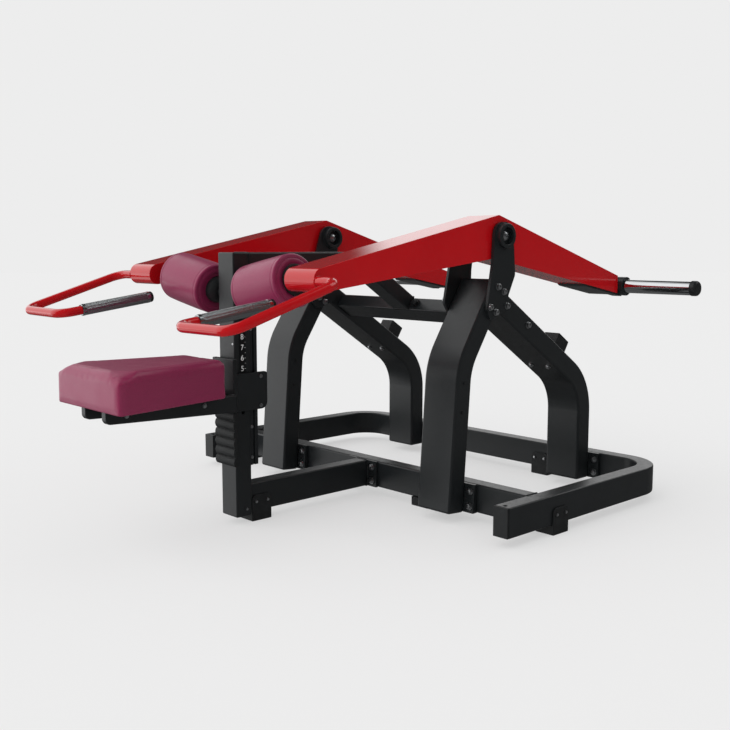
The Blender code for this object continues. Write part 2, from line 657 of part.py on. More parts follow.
def build_arm(side, word):
    """One lever: box beam, handle tube, grip and weight horn, all carried by an empty on the pivot."""
    hinge = joint_empty(f"arm_{word}_axis", (side * ARM_X, *PIVOT))
    top_slope = (ARM_APEX.y - 0.794) / (ARM_APEX.x - (-0.484))
    nose_top = ARM_APEX.y - top_slope * (ARM_APEX.x - NOSE_Y)
    under_slope = 0.12
    nose_bottom = ARM_ARMPIT.y - under_slope * (ARM_ARMPIT.x - NOSE_Y)
    outline = rounded_outline([
        (NOSE_Y, nose_top, 0.032), (NOSE_Y, nose_bottom, 0.029), (*ARM_ARMPIT, 0.030),
        (ARM_REAR_Y, ARM_REAR_BOTTOM, 0), (ARM_REAR_Y, ARM_REAR_TOP, 0), (*ARM_APEX, 0.012),
    ])
    beam = flat_piece(outline, ARM_WIDTH, "YZ", (side * ARM_X, 0, 0))
    round_edges(beam, ARM_EDGE)
    bore_radius = SHAFT_RADIUS + RUNNING_CLEARANCE
    bore = rod_piece(bore_radius, (side * (ARM_X - ARM_WIDTH), *PIVOT), (side * (ARM_X + ARM_WIDTH), *PIVOT), count=48)
    keep_part(combine(beam, bore, "DIFFERENCE"), f"arm_beam_{word}", RED_PAINT, hinge)

    outer = ARM_X + ARM_WIDTH / 2 + GAP
    corners = [Vector((outer, ELBOW.y, ELBOW.z)), ELBOW, HANDLE_FRONT_OUTER, HANDLE_FRONT_INNER, GRIP_END]
    mirrored = [Vector((side * p.x, p.y, p.z)) for p in corners]
    handle = round_tube(rounded_route(mirrored, HANDLE_BEND), HANDLE_RADIUS)
    smooth(handle)
    keep_part(handle, f"handle_tube_{word}", RED_PAINT, hinge)

    along = (mirrored[4] - mirrored[3]).normalized()
    grip_rear = mirrored[4] - along * 0.002
    bore_radius = HANDLE_RADIUS + 0.0004
    rim = 0.0015
    profile = [
        (bore_radius, 0), (GRIP_RADIUS - rim, 0), (GRIP_RADIUS, -rim), (GRIP_RADIUS, rim - GRIP_LENGTH),
        (GRIP_RADIUS - rim, -GRIP_LENGTH), (bore_radius, -GRIP_LENGTH),
    ]
    grip = turned_piece(profile, grip_rear, along, closed=True, steps=24)
    keep_part(grip, f"grip_sleeve_{word}", CHROME, hinge)
    cap_start = 0.002 + GAP
    cap = [(0, cap_start + GRIP_CAP_LENGTH)]
    cap += arc((GRIP_RADIUS - 0.005, cap_start + GRIP_CAP_LENGTH - 0.004), 0.004, 90, 0)
    cap += [(GRIP_RADIUS - 0.001, cap_start), (0, cap_start)]
    keep_part(turned_piece(cap, grip_rear, along, steps=24), f"grip_cap_{word}", PLASTIC, hinge)

    build_horn(side, word, hinge)


def build_horn(side, word, hinge):
    """Bracket under the arm's rear end, chrome horn for the weight plates and its end cap."""
    slope = (ARM_ARMPIT.y - ARM_REAR_BOTTOM) / (ARM_REAR_Y - ARM_ARMPIT.x)

    def under(y):
        return ARM_ARMPIT.y - slope * (y - ARM_ARMPIT.x) - GAP

    tip = 0.012
    outline = [
        (BRACKET_FRONT, under(BRACKET_FRONT)), (BRACKET_FRONT + tip, under(BRACKET_FRONT + tip) - BRACKET_THICKNESS),
        (BRACKET_TAB_REAR, under(BRACKET_TAB_REAR) - BRACKET_THICKNESS), (BRACKET_TAB_REAR, under(BRACKET_TAB_REAR)),
    ]
    bracket = flat_piece(outline, BRACKET_WIDTH, "YZ", (side * ARM_X, 0, 0))
    notch = box_piece((0.1, 0.1, 0.2), (side * (BRACKET_TAB_X - 0.05), ARM_REAR_Y + 0.05, ARM_REAR_BOTTOM))
    combine(bracket, notch, "DIFFERENCE")
    boss_start = side * (BRACKET_TAB_X - 0.002)
    boss_end = side * (HORN_START - GAP)
    boss = rod_piece(HORN_BOSS_RADIUS, (boss_start, HORN_Y, HORN_Z), (boss_end, HORN_Y, HORN_Z), count=32)
    keep_part(combine(bracket, boss, "UNION"), f"horn_bracket_{word}", BLACK_PAINT, hinge)

    axis = (side, 0, 0)
    length = HORN_END - HORN_START
    sleeve = [(0, length), (HORN_RADIUS, length), (HORN_RADIUS, 0), (0, 0)]
    horn = turned_piece(sleeve, (side * HORN_START, HORN_Y, HORN_Z), axis)
    keep_part(horn, f"horn_sleeve_{word}", CHROME, hinge)
    length = HORN_CAP_END - HORN_END - GAP
    rim = 0.008
    cap = [(0, length)]
    cap += arc((HORN_CAP_RADIUS - rim, length - rim), rim, 90, 0)
    cap += [(HORN_CAP_RADIUS, 0), (0, 0)]
    horn_cap = turned_piece(cap, (side * (HORN_END + GAP), HORN_Y, HORN_Z), axis)
    keep_part(horn_cap, f"horn_cap_{word}", PLASTIC, hinge)


def build_seat():
    """Pad, board, support arms and carriage, carried by an empty on the slide's axis."""
    slide = joint_empty("seat_slide_axis", (0, COLUMN_Y, CARRIAGE_BOTTOM))
    keep_part(seat_cushion(), "seat_pad", VINYL, slide)
    board_outline = seat_outline(SEAT_BOARD_INSET, SEAT_CORNER)
    board = flat_piece(
        board_outline, SEAT_BOARD_THICKNESS, "XY", (0, 0, SEAT_BOTTOM + SEAT_BOARD_THICKNESS / 2))
    keep_part(board, "seat_board", PLYWOOD, slide)

    top = SEAT_BOTTOM - GAP
    rear = CARRIAGE_FRONT - GAP
    arm_front_bottom = 0.372
    arm_rear_bottom = 0.358
    outline = rounded_outline([
        (SEAT_ARM_FRONT, top, 0), (SEAT_ARM_FRONT, arm_front_bottom, 0.016), (rear, arm_rear_bottom, 0), (rear, top, 0),
    ])
    for side, word in SIDES:
        arm = flat_piece(outline, SEAT_ARM_WIDTH, "YZ", (side * SEAT_ARM_X, 0, 0))
        keep_part(round_edges(arm, 0.003), f"seat_arm_{word}", BLACK_PAINT, slide)

    keep_part(carriage_sleeve(), "carriage_sleeve", BLACK_PAINT, slide)
    build_lock(slide)


def seat_outline(inset, corner):
    """Plan of the cushion, drawn in by a distance all round, its front corners cut."""
    taper = (SEAT_HALF_WIDTH - SEAT_REAR_HALF_WIDTH) / (SEAT_REAR - SEAT_FRONT)

    def half_width(y):
        return SEAT_HALF_WIDTH - taper * (y - SEAT_FRONT) - inset

    low, high = SEAT_FRONT + inset, SEAT_REAR - inset
    rear_corner = 0.007
    right = [
        (half_width(low) - corner, low), (half_width(low + corner), low + corner),
        (half_width(high - rear_corner), high - rear_corner), (half_width(high) - rear_corner, high),
    ]
    return [Vector(p) for p in right + [(-x, y) for x, y in reversed(right)]]


def seat_cushion():
    """Block cushion with soft top edges, its upper front corners cut off, and a pocket below for the board."""
    rings = [
        (seat_outline(0, SEAT_CORNER), SEAT_BOTTOM), (seat_outline(0, SEAT_CORNER), SEAT_CORNER_LOW),
        (seat_outline(0, SEAT_SHOULDER_CORNER), SEAT_SHOULDER),
        (seat_outline(SEAT_CHAMFER, SEAT_TOP_CORNER), SEAT_TOP),
    ]
    count = len(rings[0][0])
    places = [(p.x, p.y, z) for outline, z in rings for p in outline]
    faces = [tuple(reversed(range(count))), tuple(range(3 * count, 4 * count))]
    for level in (0, count, 2 * count):
        for k in range(count):
            ahead = (k + 1) % count
            faces.append((level + k, level + ahead, level + count + ahead, level + count + k))
    mesh = bpy.data.meshes.new("cushion")
    mesh.from_pydata(places, [], faces)
    cushion = bpy.data.objects.new("cushion", mesh)
    bpy.context.scene.collection.objects.link(cushion)
    round_edges(cushion, SEAT_EDGE, limit=15)
    smooth(cushion, 50)
    outline = seat_outline(SEAT_BOARD_INSET - GAP, SEAT_CORNER)
    pocket = flat_piece(outline, 2 * (SEAT_BOARD_THICKNESS + GAP), "XY", (0, 0, SEAT_BOTTOM))
    return combine(cushion, pocket, "DIFFERENCE")


def carriage_sleeve():
    """Front plate and two side plates round the column, tied behind the guide rail by two pins."""
    front = box_piece(
        (2 * CARRIAGE_HALF_WIDTH, CARRIAGE_PLATE - GAP, CARRIAGE_LIP - CARRIAGE_BOTTOM),
        (0, CARRIAGE_FRONT + (CARRIAGE_PLATE - GAP) / 2, (CARRIAGE_LIP + CARRIAGE_BOTTOM) / 2))
    outline = rounded_outline([
        (CARRIAGE_FRONT + 0.002, CARRIAGE_BOTTOM, 0), (CARRIAGE_REAR, CARRIAGE_BOTTOM, 0.022),
        (CARRIAGE_REAR, CARRIAGE_SHOULDER, 0.008), (CARRIAGE_FRONT + CARRIAGE_PLATE, CARRIAGE_SHOULDER, 0),
        (CARRIAGE_FRONT + 0.002, CARRIAGE_LIP - 0.004, 0),
    ])
    for side, _ in SIDES:
        x = side * (CARRIAGE_INNER_X + CARRIAGE_SIDE / 2)
        combine(front, flat_piece(outline, CARRIAGE_SIDE, "YZ", (x, 0, 0)), "UNION")
    reach = CARRIAGE_INNER_X + CARRIAGE_SIDE / 2
    for z in CARRIAGE_PINS:
        pin = rod_piece(CARRIAGE_PIN_RADIUS, (-reach, CARRIAGE_PIN_Y, z), (reach, CARRIAGE_PIN_Y, z), count=16)
        combine(front, pin, "UNION")
    hole_start = -CARRIAGE_INNER_X + 0.010
    hole_end = -CARRIAGE_INNER_X - 2 * CARRIAGE_SIDE
    hole = rod_piece(LOCK_RADIUS + GAP, (hole_start, COLUMN_Y, LOCK_Z), (hole_end, COLUMN_Y, LOCK_Z), count=16)
    return combine(front, hole, "DIFFERENCE")


def build_lock(slide):
    """Spring pull pin on the carriage's left side, in a housing that guides it."""
    face = -(CARRIAGE_INNER_X + CARRIAGE_SIDE)
    start = face - GAP
    rim = 0.002
    ring = [
        (LOCK_RADIUS + GAP, LOCK_HOUSING_LENGTH), (LOCK_HOUSING_RADIUS - rim, LOCK_HOUSING_LENGTH),
        (LOCK_HOUSING_RADIUS, LOCK_HOUSING_LENGTH - rim), (LOCK_HOUSING_RADIUS, 0), (LOCK_RADIUS + GAP, 0),
    ]
    housing = turned_piece(ring, (start, COLUMN_Y, LOCK_Z), (-1, 0, 0), closed=True, steps=20)
    keep_part(housing, "lock_housing", ZINC, slide)
    knob_base = LOCK_HOUSING_LENGTH + 0.001
    top = knob_base + LOCK_KNOB_LENGTH
    nose = COLUMN_WIDTH / 2 + start + 0.0008
    edge = 0.006
    profile = [(0, top)]
    profile += arc((LOCK_KNOB_RADIUS - edge, top - edge), edge, 90, 0)
    profile += [
        (LOCK_KNOB_RADIUS, knob_base + edge), (LOCK_KNOB_RADIUS - 0.004, knob_base), (LOCK_RADIUS, knob_base),
        (LOCK_RADIUS, nose + 0.001), (LOCK_RADIUS - 0.001, nose), (0, nose),
    ]
    pin = turned_piece(profile, (start, COLUMN_Y, LOCK_Z), (-1, 0, 0), steps=20)
    keep_part(pin, "lock_pin", PLASTIC, slide)


def build_rollers():
    """Two padded rollers, each on a stub axle that rises outward from the column's side."""
    half = ROLLER_LENGTH / 2
    for side, word in SIDES:
        axis = Vector((side * math.cos(ROLLER_TILT), 0, math.sin(ROLLER_TILT)))
        middle = Vector((side * ROLLER_MIDDLE.x, ROLLER_MIDDLE.y, ROLLER_MIDDLE.z))
        profile = [(ROLLER_BORE, half)]
        profile += arc((ROLLER_RADIUS - ROLLER_EDGE, half - ROLLER_EDGE), ROLLER_EDGE, 90, 0)
        profile += [(ROLLER_RADIUS + 0.001, 0)]
        profile += arc((ROLLER_RADIUS - ROLLER_EDGE, ROLLER_EDGE - half), ROLLER_EDGE, 0, -90)
        profile += [(ROLLER_BORE, -half)]
        roller = turned_piece(profile, middle, axis, closed=True, steps=30)
        keep_part(roller, f"roller_pad_{word}", VINYL)

        inner = -half - 0.001
        hub_base = inner - ROLLER_HUB_LENGTH
        outer = half + 0.001
        cap = outer + ROLLER_CAP_LENGTH
        profile = [
            (0, cap), (ROLLER_CAP_RADIUS - 0.003, cap), (ROLLER_CAP_RADIUS, cap - 0.003), (ROLLER_CAP_RADIUS, outer),
            (AXLE_RADIUS, outer), (AXLE_RADIUS, inner), (ROLLER_HUB_RADIUS, inner),
            (ROLLER_HUB_RADIUS - 0.001, inner - 0.009), (ROLLER_HUB_RADIUS - 0.006, inner - 0.020),
            (ROLLER_HUB_RADIUS - 0.014, inner - 0.028), (ROLLER_NECK_RADIUS, inner - 0.033),
            (ROLLER_NECK_RADIUS, hub_base), (0, hub_base),
        ]
        axle = turned_piece(profile, middle, axis)
        side_face = COLUMN_WIDTH / 2 + GAP
        trim = box_piece((2 * side_face, 0.2, 0.2), (0, ROLLER_MIDDLE.y, ROLLER_MIDDLE.z))
        keep_part(combine(axle, trim, "DIFFERENCE"), f"roller_axle_{word}", PLASTIC)


def build_machine():
    """Build every piece of the machine."""
    build_base()
    build_feet()
    build_column()
    build_legs()
    build_pivots()
    for side, word in SIDES:
        build_arm(side, word)
    build_seat()
    build_rollers()
    for piece in [*PARTS.objects, *CUTTERS.objects]:
        if piece.parent is None:
            piece.location.y += CENTRE_SHIFT


for leftover in list(bpy.data.objects):
    bpy.data.objects.remove(leftover)
PARTS = named_collection("triceps_extension_machine")
CUTTERS = named_collection("cutters")
build_machine()
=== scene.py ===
"""Looks of a plate-loaded seated triceps extension machine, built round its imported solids.

Metres, +Z up. A user sits on the pad and faces the column along +Y, with +X to the right. The Y
values below are drawn from a point a little in front of the crossbar, and ORIGIN_SHIFT moves each
finished mesh into the frame of the solids.
"""
from __future__ import annotations

import logging
from dataclasses import dataclass, field
from enum import Enum
from math import atan2, ceil, copysign, cos, hypot, pi, radians, sin, sqrt, tan
from typing import Callable, Iterable, Sequence

import bmesh
import bpy
from mathutils import Matrix, Vector


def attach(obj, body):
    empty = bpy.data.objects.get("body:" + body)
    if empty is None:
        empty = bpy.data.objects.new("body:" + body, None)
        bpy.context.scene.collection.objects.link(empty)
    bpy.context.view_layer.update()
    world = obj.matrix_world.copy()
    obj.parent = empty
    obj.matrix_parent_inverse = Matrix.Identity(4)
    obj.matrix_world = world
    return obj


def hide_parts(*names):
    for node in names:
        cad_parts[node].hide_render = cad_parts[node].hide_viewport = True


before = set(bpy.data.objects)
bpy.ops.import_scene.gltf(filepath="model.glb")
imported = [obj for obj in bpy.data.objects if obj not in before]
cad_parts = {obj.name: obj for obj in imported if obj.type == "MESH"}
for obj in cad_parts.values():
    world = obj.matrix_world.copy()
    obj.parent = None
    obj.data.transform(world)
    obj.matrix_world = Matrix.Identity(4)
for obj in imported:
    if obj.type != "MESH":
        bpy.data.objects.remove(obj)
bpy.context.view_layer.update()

log = logging.getLogger("triceps_machine")
Solid = bpy.types.Object
Tree = bpy.types.NodeTree
Node = bpy.types.Node
Socket = bpy.types.NodeSocket
Pair = tuple[float, float]
Corner = tuple[float, float, float]

ORIGIN_SHIFT = Vector((0.0, -0.0312, 0.0))
GAP = 0.0003
ARC_STEP = radians(3)
SIDES = ((1, "right"), (-1, "left"))
FOOT_HEIGHT = 0.030
TUBE_EDGE = 0.006
LEG_X = 0.408
ARM_X = 0.411
PIVOT = Vector((0.248, 0.882))
CROSSBAR_Y = 0.1325
RAIL_X = 0.7275
RAIL_REAR_Y = 0.8025
BASE_WIDTH = 0.055
BASE_DEPTH = 0.090
BASE_TOP = FOOT_HEIGHT + BASE_DEPTH
BASE_MIDDLE = FOOT_HEIGHT + BASE_DEPTH / 2
COLUMN_Y = -0.4335
COLUMN_REAR = -0.405
COLUMN_TOP = 0.832


# Colour and shader nodes


def linear_rgb(hex_colour: str) -> tuple[float, float, float, float]:
    """Turn an sRGB hex colour into linear light.

    Args:
        hex_colour: six hex digits, red first.

    Returns:
        Red, green, blue and an alpha of 1.
    """
    levels = [int(hex_colour[i:i + 2], 16) / 255 for i in (0, 2, 4)]
    red, green, blue = (
        level / 12.92 if level <= 0.04045 else ((level + 0.055) / 1.055) ** 2.4 for level in levels)
    return red, green, blue, 1.0


def add_node(
    tree: Tree, kind: str, settings: dict | None = None, links: dict | None = None
) -> Node:
    """Add a node with its settings and links.

    Args:
        tree: the node tree.
        kind: the node's type name.
        settings: properties by name, and socket values by socket name or number.
        links: the sockets that feed this node, by input name or number.

    Returns:
        The new node.
    """
    node = tree.nodes.new(kind)
    sockets = {}
    for key, value in (settings or {}).items():
        if isinstance(key, str) and hasattr(node, key):
            setattr(node, key, value)
        else:
            sockets[key] = value
    for key, value in sockets.items():
        node.inputs[key].default_value = value
    for key, source in (links or {}).items():
        tree.links.new(source, node.inputs[key])
    return node


def grain(scale_mm: float) -> float:
    """Scale of a noise or cell node, in object metres, for features of a size in millimetres."""
    return 1000.0 / scale_mm


class Slot(Enum):
    """Material slots of the record."""

    BLACK_PAINT = "black_paint"
    RED_PAINT = "red_paint"
    VINYL = "maroon_vinyl"
    CHROME = "chrome"
    RUBBER = "black_rubber"
    PLASTIC = "black_plastic"
    ZINC = "zinc_steel"
    LABEL = "label"
    BOARD = "seat_board"


class Finish:
    """A surface finish. Each builds one material, once, from its own values."""

    name: str
    slot: Slot

    def material(self) -> bpy.types.Material:
        """Find this finish's material, or make it the first time.

        Returns:
            The material.
        """
        known = bpy.data.materials.get(self.name)
        if known is not None and known.get("built"):
            return known
        made = bpy.data.materials.new(self.name)
        made.use_nodes = True
        made.node_tree.nodes.clear()
        output = made.node_tree.nodes.new("ShaderNodeOutputMaterial")
        shader = self.shade(made.node_tree)
        made.node_tree.links.new(shader.outputs[0], output.inputs["Surface"])
        made["built"] = True
        return made

    def shade(self, tree: Tree) -> Node:
        """Build the shader nodes and return the last one.

        Args:
            tree: the material's node tree.

        Returns:
            The shader's node.
        """
        raise NotImplementedError


@dataclass(frozen=True)
class PowderCoat(Finish):
    """Polyester powder coat baked on steel: a fine orange-peel skin, with faint dust and scuffs."""

    name: str
    slot: Slot
    colour: str
    shade_colour: str
    roughness: float
    specular: float
    peel_mm: float
    peel_depth: float
    coat: float

    def shade(self, tree: Tree) -> Node:
        """Mottle the colour a little, vary the gloss in wiped patches and raise the orange peel.

        Args:
            tree: the material's node tree.

        Returns:
            The shader's node.
        """
        place = add_node(tree, "ShaderNodeTexCoord").outputs["Object"]
        cloud = add_node(tree, "ShaderNodeTexNoise", {"Scale": grain(90), "Detail": 3.0, "Roughness": 0.55},
                         {"Vector": place})
        mottle = add_node(
            tree, "ShaderNodeMix",
            {"data_type": "RGBA", 6: linear_rgb(self.colour), 7: linear_rgb(self.shade_colour)},
            {0: cloud.outputs["Fac"]})
        scuff = add_node(
            tree, "ShaderNodeTexNoise",
            {"Scale": grain(14), "Detail": 6.0, "Roughness": 0.65, "Distortion": 1.2}, {"Vector": place})
        gloss = add_node(
            tree, "ShaderNodeMapRange",
            {"From Min": 0.35, "From Max": 0.75, "To Min": self.roughness - 0.04,
             "To Max": self.roughness + 0.09}, {"Value": scuff.outputs["Fac"]})
        peel = add_node(tree, "ShaderNodeTexNoise",
                        {"Scale": grain(self.peel_mm), "Detail": 2.0, "Roughness": 0.4}, {"Vector": place})
        bump = add_node(tree, "ShaderNodeBump", {"Strength": self.peel_depth, "Distance": 0.0004},
                        {"Height": peel.outputs["Fac"]})
        return add_node(
            tree, "ShaderNodeBsdfPrincipled",
            {"Metallic": 0.0, "Specular IOR Level": self.specular, "Coat Weight": self.coat,
             "Coat Roughness": 0.10},
            {"Base Color": mottle.outputs[2], "Roughness": gloss.outputs[0], "Normal": bump.outputs[0]})


@dataclass(frozen=True)
class Vinyl(Finish):
    """Calendered PVC upholstery over foam: pebble grain pressed in, a soft sheen, and painted shade darkening
    the pores.
    """

    name: str
    slot: Slot
    colour: str
    pore_shade_colour: str
    roughness: float
    pebble_mm: float

    def shade(self, tree: Tree) -> Node:
        """Press a pebble grain into the bump, darken its pores with painted shade, and mottle the gloss.

        Args:
            tree: the material's node tree.

        Returns:
            The shader's node.
        """
        place = add_node(tree, "ShaderNodeTexCoord").outputs["Object"]
        warp = add_node(tree, "ShaderNodeTexNoise", {"Scale": grain(6), "Detail": 2.0}, {"Vector": place})
        shift = add_node(
            tree, "ShaderNodeMix", {"data_type": "VECTOR", "Factor": 0.0025},
            {4: place, 5: warp.outputs["Color"]})
        cell = add_node(
            tree, "ShaderNodeTexVoronoi", {"feature": "DISTANCE_TO_EDGE", "Scale": grain(self.pebble_mm)},
            {"Vector": shift.outputs[1]})
        pebble = add_node(
            tree, "ShaderNodeMapRange",
            {"From Min": 0.0, "From Max": 0.22, "interpolation_type": "SMOOTHSTEP"},
            {"Value": cell.outputs["Distance"]})
        cloud = add_node(tree, "ShaderNodeTexNoise", {"Scale": grain(60), "Detail": 3.0}, {"Vector": place})
        # Painted shade: the grain's pores, where the bump sinks, take the darker colour.
        mottle = add_node(
            tree, "ShaderNodeMix",
            {"data_type": "RGBA", 6: linear_rgb(self.pore_shade_colour), 7: linear_rgb(self.colour)},
            {0: pebble.outputs[0]})
        worn = add_node(
            tree, "ShaderNodeMapRange",
            {"From Min": 0.3, "From Max": 0.7, "To Min": self.roughness - 0.04,
             "To Max": self.roughness + 0.05}, {"Value": cloud.outputs["Fac"]})
        bump = add_node(
            tree, "ShaderNodeBump", {"Strength": 0.16, "Distance": 0.0005}, {"Height": pebble.outputs[0]})
        return add_node(
            tree, "ShaderNodeBsdfPrincipled",
            {"Specular IOR Level": 0.55, "Sheen Weight": 0.12, "Sheen Roughness": 0.5,
             "Sheen Tint": linear_rgb("E8B4C4")},
            {"Base Color": mottle.outputs[2], "Roughness": worn.outputs[0], "Normal": bump.outputs[0]})


@dataclass(frozen=True)
class PlatedSteel(Finish):
    """Electroplated steel: bright metal with hairline rub marks that widen the highlight."""

    name: str
    slot: Slot
    colour: str
    roughness: float
    rub_mm: float
    rub_depth: float

    def shade(self, tree: Tree) -> Node:
        """Vary the roughness in fine hairlines and cloud the plating slightly.

        Args:
            tree: the material's node tree.

        Returns:
            The shader's node.
        """
        place = add_node(tree, "ShaderNodeTexCoord").outputs["Object"]
        stretch = add_node(tree, "ShaderNodeMapping", {"Scale": (0.12, 1.0, 1.0)}, {"Vector": place})
        hair = add_node(
            tree, "ShaderNodeTexNoise", {"Scale": grain(self.rub_mm), "Detail": 4.0, "Roughness": 0.6},
            {"Vector": stretch.outputs[0]})
        rub = add_node(
            tree, "ShaderNodeMapRange",
            {"From Min": 0.3, "From Max": 0.75, "To Min": self.roughness, "To Max": self.roughness + 0.10},
            {"Value": hair.outputs["Fac"]})
        bump = add_node(tree, "ShaderNodeBump", {"Strength": self.rub_depth, "Distance": 0.0002},
                        {"Height": hair.outputs["Fac"]})
        cloud = add_node(tree, "ShaderNodeTexNoise", {"Scale": grain(35), "Detail": 2.0}, {"Vector": place})
        dull = [0.88 * level for level in linear_rgb(self.colour)[:3]]
        tint = add_node(
            tree, "ShaderNodeMix", {"data_type": "RGBA", 6: linear_rgb(self.colour), 7: (*dull, 1.0)},
            {0: cloud.outputs["Fac"]})
        return add_node(
            tree, "ShaderNodeBsdfPrincipled", {"Metallic": 1.0},
            {"Base Color": tint.outputs[2], "Roughness": rub.outputs[0], "Normal": bump.outputs[0]})


@dataclass(frozen=True)
class Moulded(Finish):
    """Moulded rubber or plastic: a spark-eroded matt grain, with pale dust where it is rubbed."""

    name: str
    slot: Slot
    colour: str
    dust_colour: str
    roughness: float
    grain_mm: float
    grain_depth: float

    def shade(self, tree: Tree) -> Node:
        """Raise the moulded grain and lay a little dust in patches.

        Args:
            tree: the material's node tree.

        Returns:
            The shader's node.
        """
        place = add_node(tree, "ShaderNodeTexCoord").outputs["Object"]
        fine = add_node(tree, "ShaderNodeTexNoise",
                        {"Scale": grain(self.grain_mm), "Detail": 3.0, "Roughness": 0.6}, {"Vector": place})
        dust = add_node(tree, "ShaderNodeTexNoise", {"Scale": grain(22), "Detail": 5.0, "Roughness": 0.7},
                        {"Vector": place})
        patch = add_node(
            tree, "ShaderNodeMapRange", {"From Min": 0.5, "From Max": 0.8, "To Min": 0.0, "To Max": 0.35},
            {"Value": dust.outputs["Fac"]})
        mix = add_node(
            tree, "ShaderNodeMix",
            {"data_type": "RGBA", 6: linear_rgb(self.colour), 7: linear_rgb(self.dust_colour)},
            {0: patch.outputs[0]})
        bump = add_node(tree, "ShaderNodeBump", {"Strength": self.grain_depth, "Distance": 0.0004},
                        {"Height": fine.outputs["Fac"]})
        return add_node(
            tree, "ShaderNodeBsdfPrincipled", {"Roughness": self.roughness, "Specular IOR Level": 0.4},
            {"Base Color": mix.outputs[2], "Normal": bump.outputs[0]})


@dataclass(frozen=True)
class Plywood(Finish):
    """Stained birch plywood: long grain streaks under a thin dark stain."""

    name: str
    slot: Slot
    colour: str
    streak_colour: str
    grain_mm: float

    def shade(self, tree: Tree) -> Node:
        """Streak the stain along the board's length.

        Args:
            tree: the material's node tree.

        Returns:
            The shader's node.
        """
        place = add_node(tree, "ShaderNodeTexCoord").outputs["Object"]
        stretch = add_node(tree, "ShaderNodeMapping", {"Scale": (1.0, 0.06, 1.0)}, {"Vector": place})
        streak = add_node(
            tree, "ShaderNodeTexNoise", {"Scale": grain(self.grain_mm), "Detail": 5.0, "Distortion": 0.6},
            {"Vector": stretch.outputs[0]})
        mix = add_node(
            tree, "ShaderNodeMix",
            {"data_type": "RGBA", 6: linear_rgb(self.colour), 7: linear_rgb(self.streak_colour)},
            {0: streak.outputs["Fac"]})
        bump = add_node(
            tree, "ShaderNodeBump", {"Strength": 0.2, "Distance": 0.0003}, {"Height": streak.outputs["Fac"]})
        return add_node(tree, "ShaderNodeBsdfPrincipled", {"Roughness": 0.7},
                        {"Base Color": mix.outputs[2], "Normal": bump.outputs[0]})


# Baked polyester powder coat: a near-black that keeps a soft, wide highlight broken by its orange peel.
BLACK_PAINT = PowderCoat(
    "satin_black_powder_coat", Slot.BLACK_PAINT, "1D2022", "181B1C", 0.34, 0.50, 1.6, 0.08, 0.0)
# The same coat under a clear layer: a deep red with sharp reflections that ripple slightly.
RED_PAINT = PowderCoat(
    "gloss_red_powder_coat", Slot.RED_PAINT, "B50E15", "A80C13", 0.10, 0.50, 2.2, 0.05, 0.35)
# Calendered PVC over foam: a satin maroon whose pebble grain has painted shade darkening its pores.
MAROON_VINYL = Vinyl("maroon_pvc_upholstery", Slot.VINYL, "88204A", "721A3E", 0.33, 2.4)
# Hard chrome, polished: a mirror with faint hairlines, so the horns show the whole room in streaks.
CHROME = PlatedSteel("hard_chrome_plate", Slot.CHROME, "D4D6D8", 0.05, 1.2, 0.02)
# Chrome over a rolled knurl: small bright facets, each with its own glint.
KNURLED_CHROME = PlatedSteel("knurled_chrome_plate", Slot.CHROME, "C4C7C9", 0.14, 1.2, 0.02)
# Bright zinc on fasteners: a pale metal whose rub marks spread the highlight.
ZINC = PlatedSteel("zinc_plated_steel", Slot.ZINC, "D6D8DA", 0.28, 0.9, 0.10)
# Moulded rubber: dull black with pale dust in patches, no clear highlight.
BLACK_RUBBER = Moulded("moulded_black_rubber", Slot.RUBBER, "1B1D1E", "33373A", 0.60, 0.9, 0.35)
# Glass-filled nylon from a spark-eroded mould: black with a faint even sheen.
BLACK_PLASTIC = Moulded("moulded_black_nylon", Slot.PLASTIC, "1A1C1D", "2C2F31", 0.42, 0.8, 0.22)
# Printed film: smooth black that sets the strip off from the column.
LABEL_BLACK = Moulded("printed_black_polyester_film", Slot.LABEL, "0E0F10", "181A1B", 0.35, 1.4, 0.04)
# Screen ink: an opaque off-white, slightly raised.
LABEL_INK = Moulded("white_screen_print_ink", Slot.LABEL, "DCDEDD", "C4C7C6", 0.50, 1.1, 0.08)
# Stained birch: dark brown with long streaks along the board.
STAINED_BOARD = Plywood("stained_birch_plywood", Slot.BOARD, "2B2622", "1E1A17", 3.5)


# Outlines and meshes


def rounded_outline(corners: Sequence[Corner], step: float = ARC_STEP) -> list[Vector]:
    """Closed outline with each corner rounded by its own radius.

    Args:
        corners: (u, v, radius) of each corner in order.
        step: largest turn between two points of an arc.

    Returns:
        The outline's points.
    """
    points: list[Vector] = []
    for i, (u, v, radius) in enumerate(corners):
        here = Vector((u, v))
        if radius <= 0:
            points.append(here)
            continue
        before = (Vector(corners[i - 1][:2]) - here).normalized()
        after = (Vector(corners[(i + 1) % len(corners)][:2]) - here).normalized()
        half = before.angle(after) / 2
        middle = here + (before + after).normalized() * radius / sin(half)
        start = here + before * radius / tan(half) - middle
        sweep = pi - 2 * half
        turn = copysign(1, before.y * after.x - before.x * after.y)
        steps = max(2, ceil(sweep / step))
        for k in range(steps + 1):
            angle = turn * sweep * k / steps
            points.append(middle + Vector((start.x * cos(angle) - start.y * sin(angle),
                                           start.x * sin(angle) + start.y * cos(angle))))
    return points


